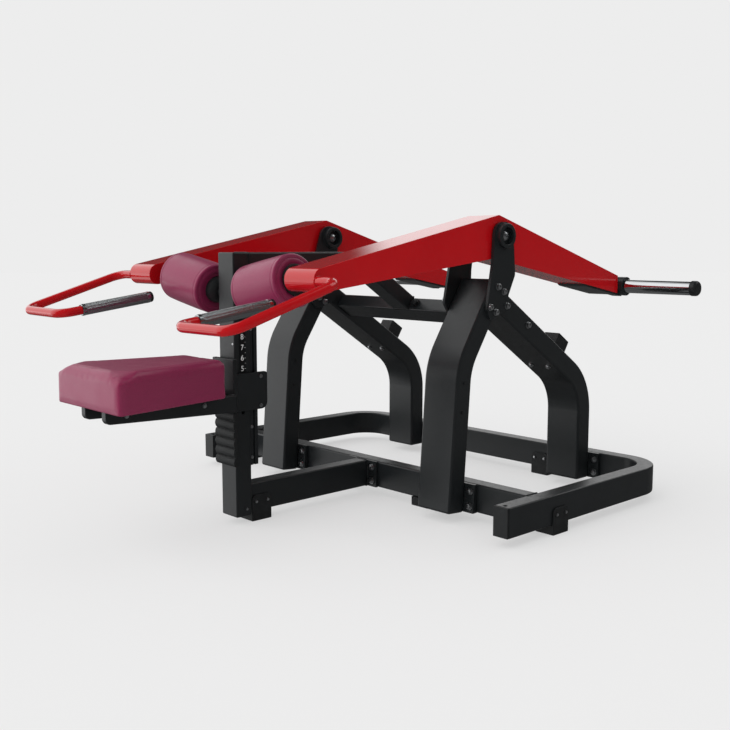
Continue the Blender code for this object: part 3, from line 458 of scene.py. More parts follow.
def bar_outline(path: Sequence[Pair], depth: float, bends: Sequence[float]) -> list[Vector]:
    """Outline of a bar of even depth along a path.

    Args:
        path: the centre line's points.
        depth: the bar's depth across the path.
        bends: centre-line radius at each inner point.

    Returns:
        The outline's points.
    """
    left: list[Corner] = []
    right: list[Corner] = []
    for i, point in enumerate(path):
        here = Vector(point)
        normals = []
        for first, last in ((i - 1, i), (i, i + 1)):
            if first >= 0 and last < len(path):
                step = (Vector(path[last]) - Vector(path[first])).normalized()
                normals.append(Vector((-step.y, step.x)))
        if len(normals) == 2:
            miter = (normals[0] + normals[1]) / (1 + normals[0].dot(normals[1])) * depth / 2
            turn = normals[0].x * normals[1].y - normals[0].y * normals[1].x
            offset = copysign(depth / 2, turn)
            left.append((*(here + miter), bends[i - 1] - offset))
            right.append((*(here - miter), bends[i - 1] + offset))
        else:
            left.append((*(here + normals[0] * depth / 2), 0))
            right.append((*(here - normals[0] * depth / 2), 0))
    return rounded_outline(right + left[::-1])


def circle_points(centre: Vector, radius: float, count: int = 48) -> list[Vector]:
    """Points of a circle in an outline's plane."""
    angles = (2 * pi * k / count for k in range(count))
    return [centre + Vector((radius * cos(a), radius * sin(a))) for a in angles]


PLANES = {"YZ": Matrix(((0, 0, 1), (1, 0, 0), (0, 1, 0))), "XZ": Matrix(((1, 0, 0), (0, 0, -1), (0, 1, 0))),
          "XY": Matrix.Identity(3)}


def link(data: bpy.types.ID, name: str) -> Solid:
    """Put a mesh or other data in the scene as a new object.

    Args:
        data: a mesh, curve, lens or lamp.
        name: the object's name.

    Returns:
        The object.
    """
    piece = bpy.data.objects.new(name, data)
    bpy.context.scene.collection.objects.link(piece)
    return piece


def plain_mesh(piece: Solid) -> bpy.types.Mesh:
    """Apply an object's modifiers and place.

    Args:
        piece: the object, which is removed.

    Returns:
        The resulting mesh, in world places.
    """
    bpy.context.view_layer.update()
    evaluated = piece.evaluated_get(bpy.context.evaluated_depsgraph_get())
    mesh = bpy.data.meshes.new_from_object(evaluated)
    mesh.transform(piece.matrix_world)
    bpy.data.objects.remove(piece)
    return mesh


def mesh_of(work: bmesh.types.BMesh, name: str) -> bpy.types.Mesh:
    """Turn a working mesh into a named one.

    Args:
        work: the working mesh, which is freed.
        name: the mesh's name.

    Returns:
        The mesh.
    """
    mesh = bpy.data.meshes.new(name)
    work.to_mesh(mesh)
    work.free()
    return mesh


def flat_solid(
    outline: Sequence[Vector], thickness: float, plane: str, along: float = 0.0,
    holes: Sequence[Sequence[Vector]] = (),
) -> Solid:
    """Give a flat outline thickness.

    Args:
        outline: points in the plane.
        thickness: size across the plane.
        plane: YZ, XZ or XY.
        along: place of the middle plane along the plane's normal.
        holes: outlines cut through it.

    Returns:
        The solid, with its place in its mesh.
    """
    curve = bpy.data.curves.new("outline", "CURVE")
    curve.dimensions = "2D"
    curve.fill_mode = "BOTH"
    curve.extrude = thickness / 2
    for loop in (outline, *holes):
        spline = curve.splines.new("POLY")
        spline.points.add(len(loop) - 1)
        for point, (u, v) in zip(spline.points, loop):
            point.co = (u, v, 0, 1)
        spline.use_cyclic_u = True
    mesh = plain_mesh(link(curve, "outline"))
    mesh.transform(PLANES[plane].to_4x4())
    normal = {"YZ": Vector((1, 0, 0)), "XZ": Vector((0, 1, 0)), "XY": Vector((0, 0, 1))}[plane]
    mesh.transform(Matrix.Translation(normal * along))
    work = bmesh.new()
    work.from_mesh(mesh)
    bmesh.ops.remove_doubles(work, verts=work.verts, dist=0.00001)
    bmesh.ops.dissolve_limit(work, angle_limit=radians(0.2), verts=work.verts, edges=work.edges)
    bmesh.ops.recalc_face_normals(work, faces=work.faces)
    work.to_mesh(mesh)
    work.free()
    return link(mesh, "solid")


def box_solid(size: Sequence[float], middle: Sequence[float], turn: Matrix | None = None) -> Solid:
    """A plain box.

    Args:
        size: its three sizes.
        middle: its middle.
        turn: how it is turned about its middle.

    Returns:
        The box, with its place in its mesh.
    """
    work = bmesh.new()
    bmesh.ops.create_cube(work, size=1.0)
    mesh = mesh_of(work, "box")
    mesh.transform(Matrix.Diagonal((*size, 1.0)))
    mesh.transform(Matrix.Translation(Vector(middle)) @ (turn or Matrix.Identity(4)))
    return link(mesh, "box")


def turned_solid(
    profile: Sequence[Pair], place: Sequence[float], axis: Sequence[float], closed: bool = False,
    steps: int = 64,
) -> Solid:
    """Turn a profile about an axis.

    Args:
        profile: (radius, height) points from top to bottom.
        place: where height 0 is.
        axis: direction of the height.
        closed: whether the profile is a ring's section.
        steps: facets round the axis.

    Returns:
        The solid, with its place in its mesh.
    """
    work = bmesh.new()
    rows = []
    for radius, height in profile:
        if radius < 1e-7:
            rows.append([work.verts.new((0, 0, height))])
            continue
        rows.append([
            work.verts.new((radius * cos(a), radius * sin(a), height))
            for a in (2 * pi * k / steps for k in range(steps))
        ])
    pairs = list(zip(rows, rows[1:]))
    if closed:
        pairs.append((rows[-1], rows[0]))
    for upper, lower in pairs:
        for k in range(steps):
            nxt = (k + 1) % steps
            if len(upper) == 1 and len(lower) > 1:
                work.faces.new((upper[0], lower[k], lower[nxt]))
            elif len(lower) == 1 and len(upper) > 1:
                work.faces.new((upper[k], lower[0], upper[nxt]))
            elif len(upper) > 1:
                work.faces.new((upper[k], lower[k], lower[nxt], upper[nxt]))
    bmesh.ops.recalc_face_normals(work, faces=work.faces)
    mesh = mesh_of(work, "turned")
    turn = Vector(axis).to_track_quat("Z", "Y").to_matrix().to_4x4()
    mesh.transform(Matrix.Translation(Vector(place)) @ turn)
    return link(mesh, "turned")


def arc(centre: Pair, radius: float, first: float, last: float, steps: int = 8) -> list[Pair]:
    """Points (radius, height) of an arc in a turned profile, between angles in degrees."""
    angles = [radians(first + (last - first) * k / steps) for k in range(steps + 1)]
    return [(centre[0] + radius * cos(a), centre[1] + radius * sin(a)) for a in angles]


def rounded_route(points: Sequence[Vector], bend: float) -> list[Vector]:
    """Route through the points, with one bend radius at each inner one.

    Args:
        points: ends and corners.
        bend: the centre-line radius at each corner.

    Returns:
        The route's points.
    """
    route = [Vector(points[0])]
    for before, here, after in zip(points, points[1:], points[2:]):
        back = (before - here).normalized()
        ahead = (after - here).normalized()
        half = back.angle(ahead) / 2
        middle = here + (back + ahead).normalized() * bend / sin(half)
        start = here + back * bend / tan(half) - middle
        end = here + ahead * bend / tan(half) - middle
        sweep = pi - 2 * half
        steps = max(3, ceil(sweep / ARC_STEP))
        for k in range(steps + 1):
            share = sweep * k / steps
            route.append(middle + (start * sin(sweep - share) + end * sin(share)) / sin(sweep))
    route.append(Vector(points[-1]))
    return route


def round_tube(route: Sequence[Vector], radius: float, sides: int = 32) -> Solid:
    """A round tube with closed ends along a route, its ring carried without twist.

    Args:
        route: points of the centre line.
        radius: the tube's radius.
        sides: facets round it.

    Returns:
        The tube, with its place in its mesh.
    """
    work = bmesh.new()
    rings = []
    across = (route[1] - route[0]).orthogonal().normalized()
    for i, here in enumerate(route):
        ahead = route[min(i + 1, len(route) - 1)] - route[max(i - 1, 0)]
        ahead.normalize()
        across = (across - ahead * across.dot(ahead)).normalized()
        other = ahead.cross(across)
        rings.append([
            work.verts.new(here + (across * cos(a) + other * sin(a)) * radius)
            for a in (2 * pi * k / sides for k in range(sides))
        ])
    for first, second in zip(rings, rings[1:]):
        for k in range(sides):
            nxt = (k + 1) % sides
            work.faces.new((first[k], first[nxt], second[nxt], second[k]))
    work.faces.new(rings[0][::-1])
    work.faces.new(rings[-1])
    bmesh.ops.recalc_face_normals(work, faces=work.faces)
    mesh = mesh_of(work, "tube")
    return link(mesh, "tube")


def cut(piece: Solid, *tools: Solid, operation: str = "DIFFERENCE") -> Solid:
    """Cut or join solids with exact Booleans.

    Args:
        piece: the solid that is cut.
        tools: the solids that cut it, which are removed.
        operation: the Boolean's kind.

    Returns:
        The cut solid.
    """
    for tool in tools:
        change = piece.modifiers.new("cut", "BOOLEAN")
        change.operation = operation
        change.solver = "EXACT"
        change.object = tool
        mesh = plain_mesh(piece)
        bpy.data.objects.remove(tool)
        piece = link(mesh, "cut")
    return piece


def soften_edges(piece: Solid, width: float, segments: int = 3, limit: float = 30) -> Solid:
    """Round the sharp edges of a solid.

    Args:
        piece: the solid.
        width: size of the rounding.
        segments: facets across it.
        limit: edges sharper than this, in degrees, are rounded.

    Returns:
        The softened solid.
    """
    bevel = piece.modifiers.new("edges", "BEVEL")
    bevel.width = width
    bevel.segments = segments
    bevel.limit_method = "ANGLE"
    bevel.angle_limit = radians(limit)
    bevel.miter_outer = "MITER_ARC"
    mesh = plain_mesh(piece)
    return link(mesh, "softened")


def join_solids(pieces: Iterable[Solid]) -> Solid:
    """Put several finished solids in one object.

    Args:
        pieces: the solids, which are removed.

    Returns:
        One object with all of them.
    """
    work = bmesh.new()
    for piece in pieces:
        work.from_mesh(piece.data)
        bpy.data.objects.remove(piece)
    mesh = mesh_of(work, "joined")
    return link(mesh, "joined")


def finish_piece(
    piece: Solid, name: str, body: str, finish: Finish, nodes: Sequence[str] = (), angle: float = 35,
) -> Solid:
    """Bake, shift, shade, paint and hang a finished piece on its body.

    Args:
        piece: the piece, drawn in the drawing's own place.
        name: the piece's name.
        body: the body that it moves with.
        finish: what its surface is.
        nodes: the solids that it stands for.
        angle: edges sharper than this, in degrees, stay sharp.

    Returns:
        The finished piece.
    """
    mesh = plain_mesh(piece)
    mesh.transform(Matrix.Translation(ORIGIN_SHIFT))
    mesh.shade_smooth()
    mesh.set_sharp_from_angle(angle=radians(angle))
    done = link(mesh, name)
    mesh.name = name
    weight = done.modifiers.new("flat_faces_lead", "WEIGHTED_NORMAL")
    weight.keep_sharp = True
    baked = plain_mesh(done)
    done = link(baked, name)
    baked.name = name
    if not baked.materials:
        baked.materials.append(finish.material())
    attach(done, body)
    if nodes:
        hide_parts(*nodes)
    log.info("%s on %s: %d faces", name, body, len(baked.polygons))
    return done


def finish_steel(piece: Solid, name: str, *nodes: str) -> None:
    """Finish a piece of the frame's black-coated steel, which stands for the named solids."""
    finish_piece(piece, name, "frame", BLACK_PAINT, nodes)


# Screws, beads and knurls that repeat, as Geometry Nodes


class Screw(Enum):
    """Kinds of fastener on the machine."""

    SOCKET = "socket_screw"
    HEX = "hex_bolt"
    PAN = "pan_screw"


class NodeRule:
    """A Geometry Nodes tree with named sizes, run on a mesh and turned into a plain mesh."""

    def __init__(self, name: str, sizes: dict[str, float]) -> None:
        """Start a tree with its named sizes.

        Args:
            name: the tree's name.
            sizes: each size's name and value.
        """
        self.tree = bpy.data.node_groups.new(name, "GeometryNodeTree")
        self.tree.is_modifier = True
        face = self.tree.interface
        face.new_socket("Geometry", in_out="INPUT", socket_type="NodeSocketGeometry")
        self.sizes = sizes
        self.sockets = {key: face.new_socket(key, in_out="INPUT",
                                             socket_type="NodeSocketFloat").identifier for key in sizes}
        self.sockets["Finish"] = face.new_socket(
            "Finish", in_out="INPUT", socket_type="NodeSocketMaterial").identifier
        face.new_socket("Geometry", in_out="OUTPUT", socket_type="NodeSocketGeometry")
        self.start = self.tree.nodes.new("NodeGroupInput")

    def size(self, name: str) -> Socket:
        """The socket of a named size."""
        return self.start.outputs[name]

    def node(self, kind: str, settings: dict | None = None, links: dict | None = None) -> Node:
        """Add a node to the tree."""
        return add_node(self.tree, kind, settings, links)

    def close(self, socket: Socket) -> None:
        """End the tree with Realize Instances and Set Material.

        Args:
            socket: the geometry that the tree makes.
        """
        real = self.node("GeometryNodeRealizeInstances", links={"Geometry": socket})
        painted = self.node(
            "GeometryNodeSetMaterial",
            links={"Geometry": real.outputs[0], "Material": self.start.outputs["Finish"]})
        end = self.tree.nodes.new("NodeGroupOutput")
        self.tree.links.new(painted.outputs[0], end.inputs[0])

    def run(self, seeds: Solid, finish: Finish, sizes: dict[str, float] | None = None) -> Solid:
        """Run the tree on an object and return the plain result.

        Args:
            seeds: the object whose mesh the tree reads.
            finish: what the result is made of.
            sizes: sizes that differ from the tree's own.

        Returns:
            A new object with the result as its mesh.
        """
        change = seeds.modifiers.new(self.tree.name, "NODES")
        change.node_group = self.tree
        for key, value in {**self.sizes, **(sizes or {})}.items():
            change[self.sockets[key]] = value
        change[self.sockets["Finish"]] = finish.material()
        return link(plain_mesh(seeds), "made")


def points_mesh(places: Sequence[Vector], facings: Sequence[Vector]) -> Solid:
    """A mesh of loose points, each with a direction that its copy faces.

    Args:
        places: the points.
        facings: the direction of each.

    Returns:
        The object that holds them.
    """
    mesh = bpy.data.meshes.new("points")
    mesh.from_pydata([tuple(p) for p in places], [], [])
    facing = mesh.attributes.new("facing", "FLOAT_VECTOR", "POINT")
    facing.data.foreach_set("vector", [value for v in facings for value in v])
    return link(mesh, "points")


def place_copies(rule: NodeRule, copy: Socket) -> Socket:
    """Set a copy on each point of the rule's mesh, its height along the point's facing.

    Args:
        rule: the tree.
        copy: the geometry that is copied.

    Returns:
        The copies.
    """
    facing = rule.node("GeometryNodeInputNamedAttribute", {"data_type": "FLOAT_VECTOR", "Name": "facing"})
    turn = rule.node(
        "FunctionNodeAlignRotationToVector", {"axis": "Z"}, {"Vector": facing.outputs["Attribute"]})
    points = rule.node("GeometryNodeMeshToPoints", links={"Mesh": rule.start.outputs["Geometry"]})
    return rule.node(
        "GeometryNodeInstanceOnPoints",
        links={"Points": points.outputs[0], "Instance": copy, "Rotation": turn.outputs[0]}).outputs[0]


def lifted(rule: NodeRule, solid: Socket, height: Socket) -> Socket:
    """Raise a solid inside a copy by a height.

    Args:
        rule: the tree.
        solid: the geometry.
        height: how far.

    Returns:
        The raised geometry.
    """
    up = rule.node("ShaderNodeCombineXYZ", links={"Z": height})
    return rule.node(
        "GeometryNodeTransform", links={"Geometry": solid, "Translation": up.outputs[0]}).outputs[0]


HEAD_SHARES = {
    Screw.SOCKET: {"recess": 0.56, "plug": 0.55, "wall": 0.82, "crown": 0.18, "plug middle": 0.4},
    Screw.HEX: {"dome top": 0.40, "dome bottom": 0.90, "wall": 0.8, "crown": 0.2, "middle": 0.4},
    Screw.PAN: {"dome top": 0.55, "dome bottom": 0.98, "wall": 0.8, "crown": 0.2, "middle": 0.4},
}
ACROSS = ("recess", "plug", "dome top", "dome bottom")
CROWN_TAPER = 0.62


def screw_rule(kind: Screw) -> NodeRule:
    """Tree for a fastener: washer, head and, on a socket screw, its six-sided recess.

    Args:
        kind: the fastener.

    Returns:
        The tree, which sets one fastener on each point.
    """
    rule = NodeRule(
        kind.value,
        {"Head Radius": 0.009, "Head Height": 0.008, "Washer Radius": 0.012, "Washer Thickness": 0.002})
    base = rule.size("Washer Thickness")
    share = {"washer middle": rule.node("ShaderNodeMath", {"operation": "MULTIPLY", 1: 0.5},
                                        {0: base}).outputs[0]}
    for name, factor in HEAD_SHARES[kind].items():
        size = rule.size("Head Radius" if name in ACROSS else "Head Height")
        share[name] = rule.node("ShaderNodeMath", {"operation": "MULTIPLY", 1: factor}, {0: size}).outputs[0]
    washer = rule.node(
        "GeometryNodeMeshCylinder", {"Vertices": 28}, {"Radius": rule.size("Washer Radius"), "Depth": base})
    solids = [lifted(rule, washer.outputs["Mesh"], share["washer middle"])]
    if kind is Screw.SOCKET:
        both = rule.node("GeometryNodeJoinGeometry")
        for sides, radius in ((28, rule.size("Head Radius")), (6, share["recess"])):
            ring = rule.node("GeometryNodeCurvePrimitiveCircle", {"Resolution": sides}, {"Radius": radius})
            rule.tree.links.new(ring.outputs["Curve"], both.inputs[0])
        flat = rule.node("GeometryNodeFillCurve", {"mode": "NGONS"}, {"Curve": both.outputs[0]})
        walls = rule.node(
            "GeometryNodeExtrudeMesh", {"Individual": False},
            {"Mesh": flat.outputs[0], "Offset Scale": share["wall"]})
        crown = rule.node(
            "GeometryNodeExtrudeMesh", {"Individual": False},
            {"Mesh": walls.outputs["Mesh"], "Selection": walls.outputs["Top"],
             "Offset Scale": share["crown"]})
        taper = rule.node(
            "GeometryNodeScaleElements", {"Scale": CROWN_TAPER},
            {"Geometry": crown.outputs["Mesh"], "Selection": crown.outputs["Top"]})
        under = rule.node("GeometryNodeFlipFaces", links={"Mesh": flat.outputs[0]})
        head = rule.node("GeometryNodeJoinGeometry")
        for part in (taper, under):
            rule.tree.links.new(part.outputs[0], head.inputs[0])
        whole = rule.node("GeometryNodeMergeByDistance", {"Distance": 0.00001}, {"Geometry": head.outputs[0]})
        solids.append(lifted(rule, whole.outputs[0], base))
        plug = rule.node("GeometryNodeMeshCylinder", {"Vertices": 6},
                         {"Radius": share["plug"], "Depth": share["plug middle"]})
        solids.append(lifted(rule, plug.outputs["Mesh"], share["plug middle"]))
    else:
        head = rule.node("GeometryNodeMeshCylinder", {"Vertices": 6 if kind is Screw.HEX else 24},
                         {"Radius": rule.size("Head Radius"), "Depth": share["wall"]})
        dome = rule.node(
            "GeometryNodeMeshCone", {"Vertices": 24, "Side Segments": 2},
            {"Radius Top": share["dome top"], "Radius Bottom": share["dome bottom"], "Depth": share["crown"]})
        for part, height in ((head, share["middle"]), (dome, share["wall"])):
            place = rule.node("ShaderNodeMath", {"operation": "ADD"}, {0: height, 1: base})
            solids.append(lifted(rule, part.outputs["Mesh"], place.outputs[0]))
    joined = rule.node("GeometryNodeJoinGeometry")
    for solid in solids:
        rule.tree.links.new(solid, joined.inputs[0])
    rule.close(place_copies(rule, joined.outputs[0]))
    return rule


def bead_rule() -> NodeRule:
    """Tree for a weld bead: a ripple that swells and thins along an edge.

    Returns:
        The tree, which follows edges.
    """
    rule = NodeRule("weld_bead", {"Bead Radius": 0.0032, "Ripple Length": 0.0034, "Ripple Depth": 0.14})
    line = rule.node("GeometryNodeMeshToCurve", links={"Mesh": rule.start.outputs["Geometry"]})
    step = rule.node("ShaderNodeMath", {"operation": "MULTIPLY", 1: 0.34}, {0: rule.size("Ripple Length")})
    short = rule.node(
        "GeometryNodeResampleCurve", {"mode": "LENGTH"},
        {"Curve": line.outputs[0], "Length": step.outputs[0]})
    along = rule.node("GeometryNodeSplineParameter")
    turns = rule.node(
        "ShaderNodeMath", {"operation": "DIVIDE"},
        {0: along.outputs["Length"], 1: rule.size("Ripple Length")})
    angle = rule.node("ShaderNodeMath", {"operation": "MULTIPLY", 1: 2 * pi}, {0: turns.outputs[0]})
    wave = rule.node("ShaderNodeMath", {"operation": "SINE"}, {0: angle.outputs[0]})
    swell = rule.node(
        "ShaderNodeMath", {"operation": "MULTIPLY_ADD", 2: 1.0},
        {0: wave.outputs[0], 1: rule.size("Ripple Depth")})
    radius = rule.node(
        "GeometryNodeSetCurveRadius", links={"Curve": short.outputs[0], "Radius": swell.outputs[0]})
    section = rule.node(
        "GeometryNodeCurvePrimitiveCircle", {"Resolution": 8}, {"Radius": rule.size("Bead Radius")})
    bead = rule.node(
        "GeometryNodeCurveToMesh", {"Fill Caps": True},
        {"Curve": radius.outputs[0], "Profile Curve": section.outputs["Curve"], "Scale": swell.outputs[0]})
    rule.close(bead.outputs[0])
    return rule


def knurl_rule() -> NodeRule:
    """Tree for a knurl: a low four-sided point on each point of a mesh, facing outwards.

    Returns:
        The tree, which sets one knurl on each point.
    """
    rule = NodeRule("diamond_knurl", {"Pitch": 0.0030, "Depth": 0.00045})
    half = rule.node("ShaderNodeMath", {"operation": "MULTIPLY", 1: 0.52}, {0: rule.size("Pitch")})
    point = rule.node(
        "GeometryNodeMeshCone", {"Vertices": 4, "Fill Segments": 1, "Radius Top": 0.0},
        {"Radius Bottom": half.outputs[0], "Depth": rule.size("Depth")})
    rule.close(place_copies(rule, point.outputs["Mesh"]))
    return rule


RULES: dict[str, NodeRule] = {}


def rule_for(key: str, maker: Callable[[], NodeRule]) -> NodeRule:
    """Make a tree once and keep it.

    Args:
        key: its name.
        maker: what makes it.

    Returns:
        The tree.
    """
    if key not in RULES:
        RULES[key] = maker()
    return RULES[key]


@dataclass
class ScrewSet:
    """Fasteners of one kind and size that ride on one body."""

    name: str
    body: str
    kind: Screw
    head_radius: float
    head_height: float
    washer_radius: float
    finish: Finish = ZINC
    places: list[Vector] = field(default_factory=list)
    facings: list[Vector] = field(default_factory=list)

    def add(self, place: Sequence[float], facing: Sequence[float]) -> None:
        """Set one fastener on a surface, facing outwards."""
        self.places.append(Vector(place))
        self.facings.append(Vector(facing).normalized())

    def build(self) -> None:
        """Make all the set's fasteners as one piece."""
        rule = rule_for(self.kind.value, lambda: screw_rule(self.kind))
        seeds = points_mesh(self.places, self.facings)
        made = rule.run(seeds, self.finish, {
            "Head Radius": self.head_radius, "Head Height": self.head_height,
            "Washer Radius": self.washer_radius, "Washer Thickness": 0.0016})
        finish_piece(made, self.name, self.body, self.finish, angle=32)


def edge_path(points: Sequence[Vector], closed: bool = True) -> Solid:
    """A mesh of edges through the points, for a bead to follow.

    Args:
        points: the points in order.
        closed: whether the last joins the first.

    Returns:
        The object that holds them.
    """
    mesh = bpy.data.meshes.new("path")
    count = len(points)
    edges = [(i, (i + 1) % count) for i in range(count if closed else count - 1)]
    mesh.from_pydata([tuple(p) for p in points], edges, [])
    return link(mesh, "path")


def weld_beads(
    name: str, body: str, paths: Sequence[tuple[Sequence[Vector], bool]], finish: Finish,
    radius: float = 0.0030,
) -> None:
    """Run painted weld beads along paths.

    Args:
        name: the piece's name.
        body: the body that it moves with.
        paths: points of each bead, and whether it closes on itself.
        finish: the paint over it.
        radius: the bead's size.
    """
    rule = rule_for("bead", bead_rule)
    beads = [rule.run(edge_path(points, closed), finish, {"Bead Radius": radius}) for points, closed in paths]
    finish_piece(join_solids(beads), name, body, finish, angle=60)


def rectangle_path(
    middle: Sequence[float], half_u: float, half_v: float, plane: str
) -> list[Vector]:
    """Points round a rectangle with rounded corners.

    Args:
        middle: the rectangle's middle.
        half_u: half its size along the plane's first axis.
        half_v: half its size along the plane's second axis.
        plane: YZ, XZ or XY.

    Returns:
        The points in order.
    """
    corners = [(half_u, half_v), (-half_u, half_v), (-half_u, -half_v), (half_u, -half_v)]
    flat = rounded_outline([(u, v, TUBE_EDGE) for u, v in corners], radians(30))
    turn = {"YZ": lambda p: Vector((0, p.x, p.y)), "XZ": lambda p: Vector((p.x, 0, p.y)),
            "XY": lambda p: Vector((p.x, p.y, 0))}[plane]
    return [Vector(middle) + turn(p) for p in flat]


# Sub-assemblies


@dataclass
class BaseFrame:
    """Bent rail, crossbar and spine that stand on the floor."""

    rail_x: float = RAIL_X
    rail_front: float = -0.043
    rear_y: float = RAIL_REAR_Y
    bend: float = 0.1225
    flange_thickness: float = 0.010
    spine_flange_width: float = 0.140

    def build(self) -> None:
        """Build the base's tubes, caps, flange, beads and bolts."""
        self.build_rail()
        self.build_crossbar()
        self.build_spine()

    def build_rail(self) -> None:
        """Rail bent into a U, with a small drain hole near each end and a cap in each end."""
        path = [(-self.rail_x, self.rail_front), (-self.rail_x, self.rear_y),
                (self.rail_x, self.rear_y), (self.rail_x, self.rail_front)]
        rail = flat_solid(
            bar_outline(path, BASE_WIDTH, (self.bend, self.bend)), BASE_DEPTH, "XY", BASE_MIDDLE)
        holes = [
            turned_solid([(0, 0.02), (0.0045, 0.02), (0.0045, -0.012), (0, -0.012)],
                         (side * self.rail_x, self.rail_front + 0.016, BASE_TOP), (0, 0, 1), steps=20)
            for side, _ in SIDES
        ]
        rail = soften_edges(cut(rail, *holes), TUBE_EDGE, 4)
        finish_steel(rail, "base_rail_tube", "base_rail")
        for side, word in SIDES:
            cap = box_solid((BASE_WIDTH - 0.0016, 0.0044, BASE_DEPTH - 0.0016),
                            (side * self.rail_x, self.rail_front - 0.0024, BASE_MIDDLE))
            cap = soften_edges(cap, 0.0018, 3)
            finish_piece(cap, f"rail_end_plug_{word}", "frame", BLACK_PLASTIC, (f"rail_end_cap_{word}",))

    def build_crossbar(self) -> None:
        """Crossbar between the rails, welded at both ends."""
        inside = self.rail_x - BASE_WIDTH / 2 - GAP
        bar = box_solid((2 * inside, BASE_WIDTH, BASE_DEPTH), (0, CROSSBAR_Y, BASE_MIDDLE))
        finish_steel(soften_edges(bar, TUBE_EDGE, 4), "crossbar_tube", "front_crossbar")
        paths = [(rectangle_path((side * inside, CROSSBAR_Y, BASE_MIDDLE), BASE_WIDTH / 2, BASE_DEPTH / 2,
                                 "YZ"), True) for side, _ in SIDES]
        weld_beads("crossbar_beads", "frame", paths, BLACK_PAINT, 0.0026)

    def build_spine(self) -> None:
        """Spine from the column to its bolted flange at the crossbar."""
        flange_front = CROSSBAR_Y - BASE_WIDTH / 2 - GAP - self.flange_thickness
        start = COLUMN_REAR + GAP
        end = flange_front - GAP
        spine = box_solid((BASE_WIDTH, end - start, BASE_DEPTH), (0, (start + end) / 2, BASE_MIDDLE))
        finish_steel(soften_edges(spine, TUBE_EDGE, 4), "spine_tube", "base_spine")
        flange = box_solid(
            (self.spine_flange_width, self.flange_thickness, BASE_DEPTH),
            (0, flange_front + self.flange_thickness / 2, BASE_MIDDLE))
        finish_steel(soften_edges(flange, 0.0015, 2), "spine_flange_plate", "spine_flange")
        weld_beads("spine_beads", "frame", [
            (rectangle_path((0, start, BASE_MIDDLE), BASE_WIDTH / 2, BASE_DEPTH / 2, "XZ"), True),
            (rectangle_path((0, end, BASE_MIDDLE), BASE_WIDTH / 2, BASE_DEPTH / 2, "XZ"), True),
        ], BLACK_PAINT, 0.0026)
        bolts = ScrewSet("spine_flange_bolts", "frame", Screw.HEX, 0.0095, 0.0075, 0.0125)
        for x in (-0.048, 0.048):
            for z in (0.052, 0.098):
                bolts.add((x, flange_front, z), (0, -1, 0))
        bolts.build()


@dataclass
class WrapFoot:
    """Rubber foot that wraps a base tube, with screws through its flaps."""

    name: str
    x: float
    y: float
    along_y: bool
    flaps: tuple[bool, bool] = (True, True)
    length: float = 0.075
    wrap: float = 0.0055
    flap_top: float = 0.082
    flap_round: float = 0.016

    def build(self, screws: ScrewSet) -> None:
        """Build the foot and note where its screws go.

        Args:
            screws: the set that the foot's screws are added to.
        """
        half = self.length / 2
        across = BASE_WIDTH / 2 + self.wrap
        plane = "YZ" if self.along_y else "XZ"
        middle = (self.y, self.x) if self.along_y else (self.x, self.y)
        side_view = rounded_outline(
            [(middle[0] - half, 0.0, 0.003), (middle[0] + half, 0.0, 0.003),
             (middle[0] + half, self.flap_top, self.flap_round),
             (middle[0] - half, self.flap_top, self.flap_round)], radians(8))
        low = -across if self.flaps[0] else -BASE_WIDTH / 2
        high = across if self.flaps[1] else BASE_WIDTH / 2
        body = flat_solid(side_view, high - low, plane, middle[1] + (high + low) / 2)
        hollow_low = -BASE_WIDTH / 2 - GAP if self.flaps[0] else -BASE_WIDTH
        hollow_high = BASE_WIDTH / 2 + GAP if self.flaps[1] else BASE_WIDTH
        width = hollow_high - hollow_low
        centre = (hollow_high + hollow_low) / 2
        size = (width, 0.2, 0.1) if self.along_y else (0.2, width, 0.1)
        place = (self.x + centre, self.y) if self.along_y else (self.x, self.y + centre)
        body = cut(body, box_solid(size, (*place, FOOT_HEIGHT - GAP + 0.05)))
        body = soften_edges(body, 0.0018, 3)
        finish_piece(body, f"{self.name}_pad", "frame", BLACK_RUBBER, (self.name,))
        for side, present in zip((-1, 1), self.flaps):
            if not present:
                continue
            for step in (-0.022, 0.022):
                if self.along_y:
                    screws.add((self.x + side * across, self.y + step, 0.062), (side, 0, 0))
                else:
                    screws.add((self.x + step, self.y + side * across, 0.062), (0, side, 0))


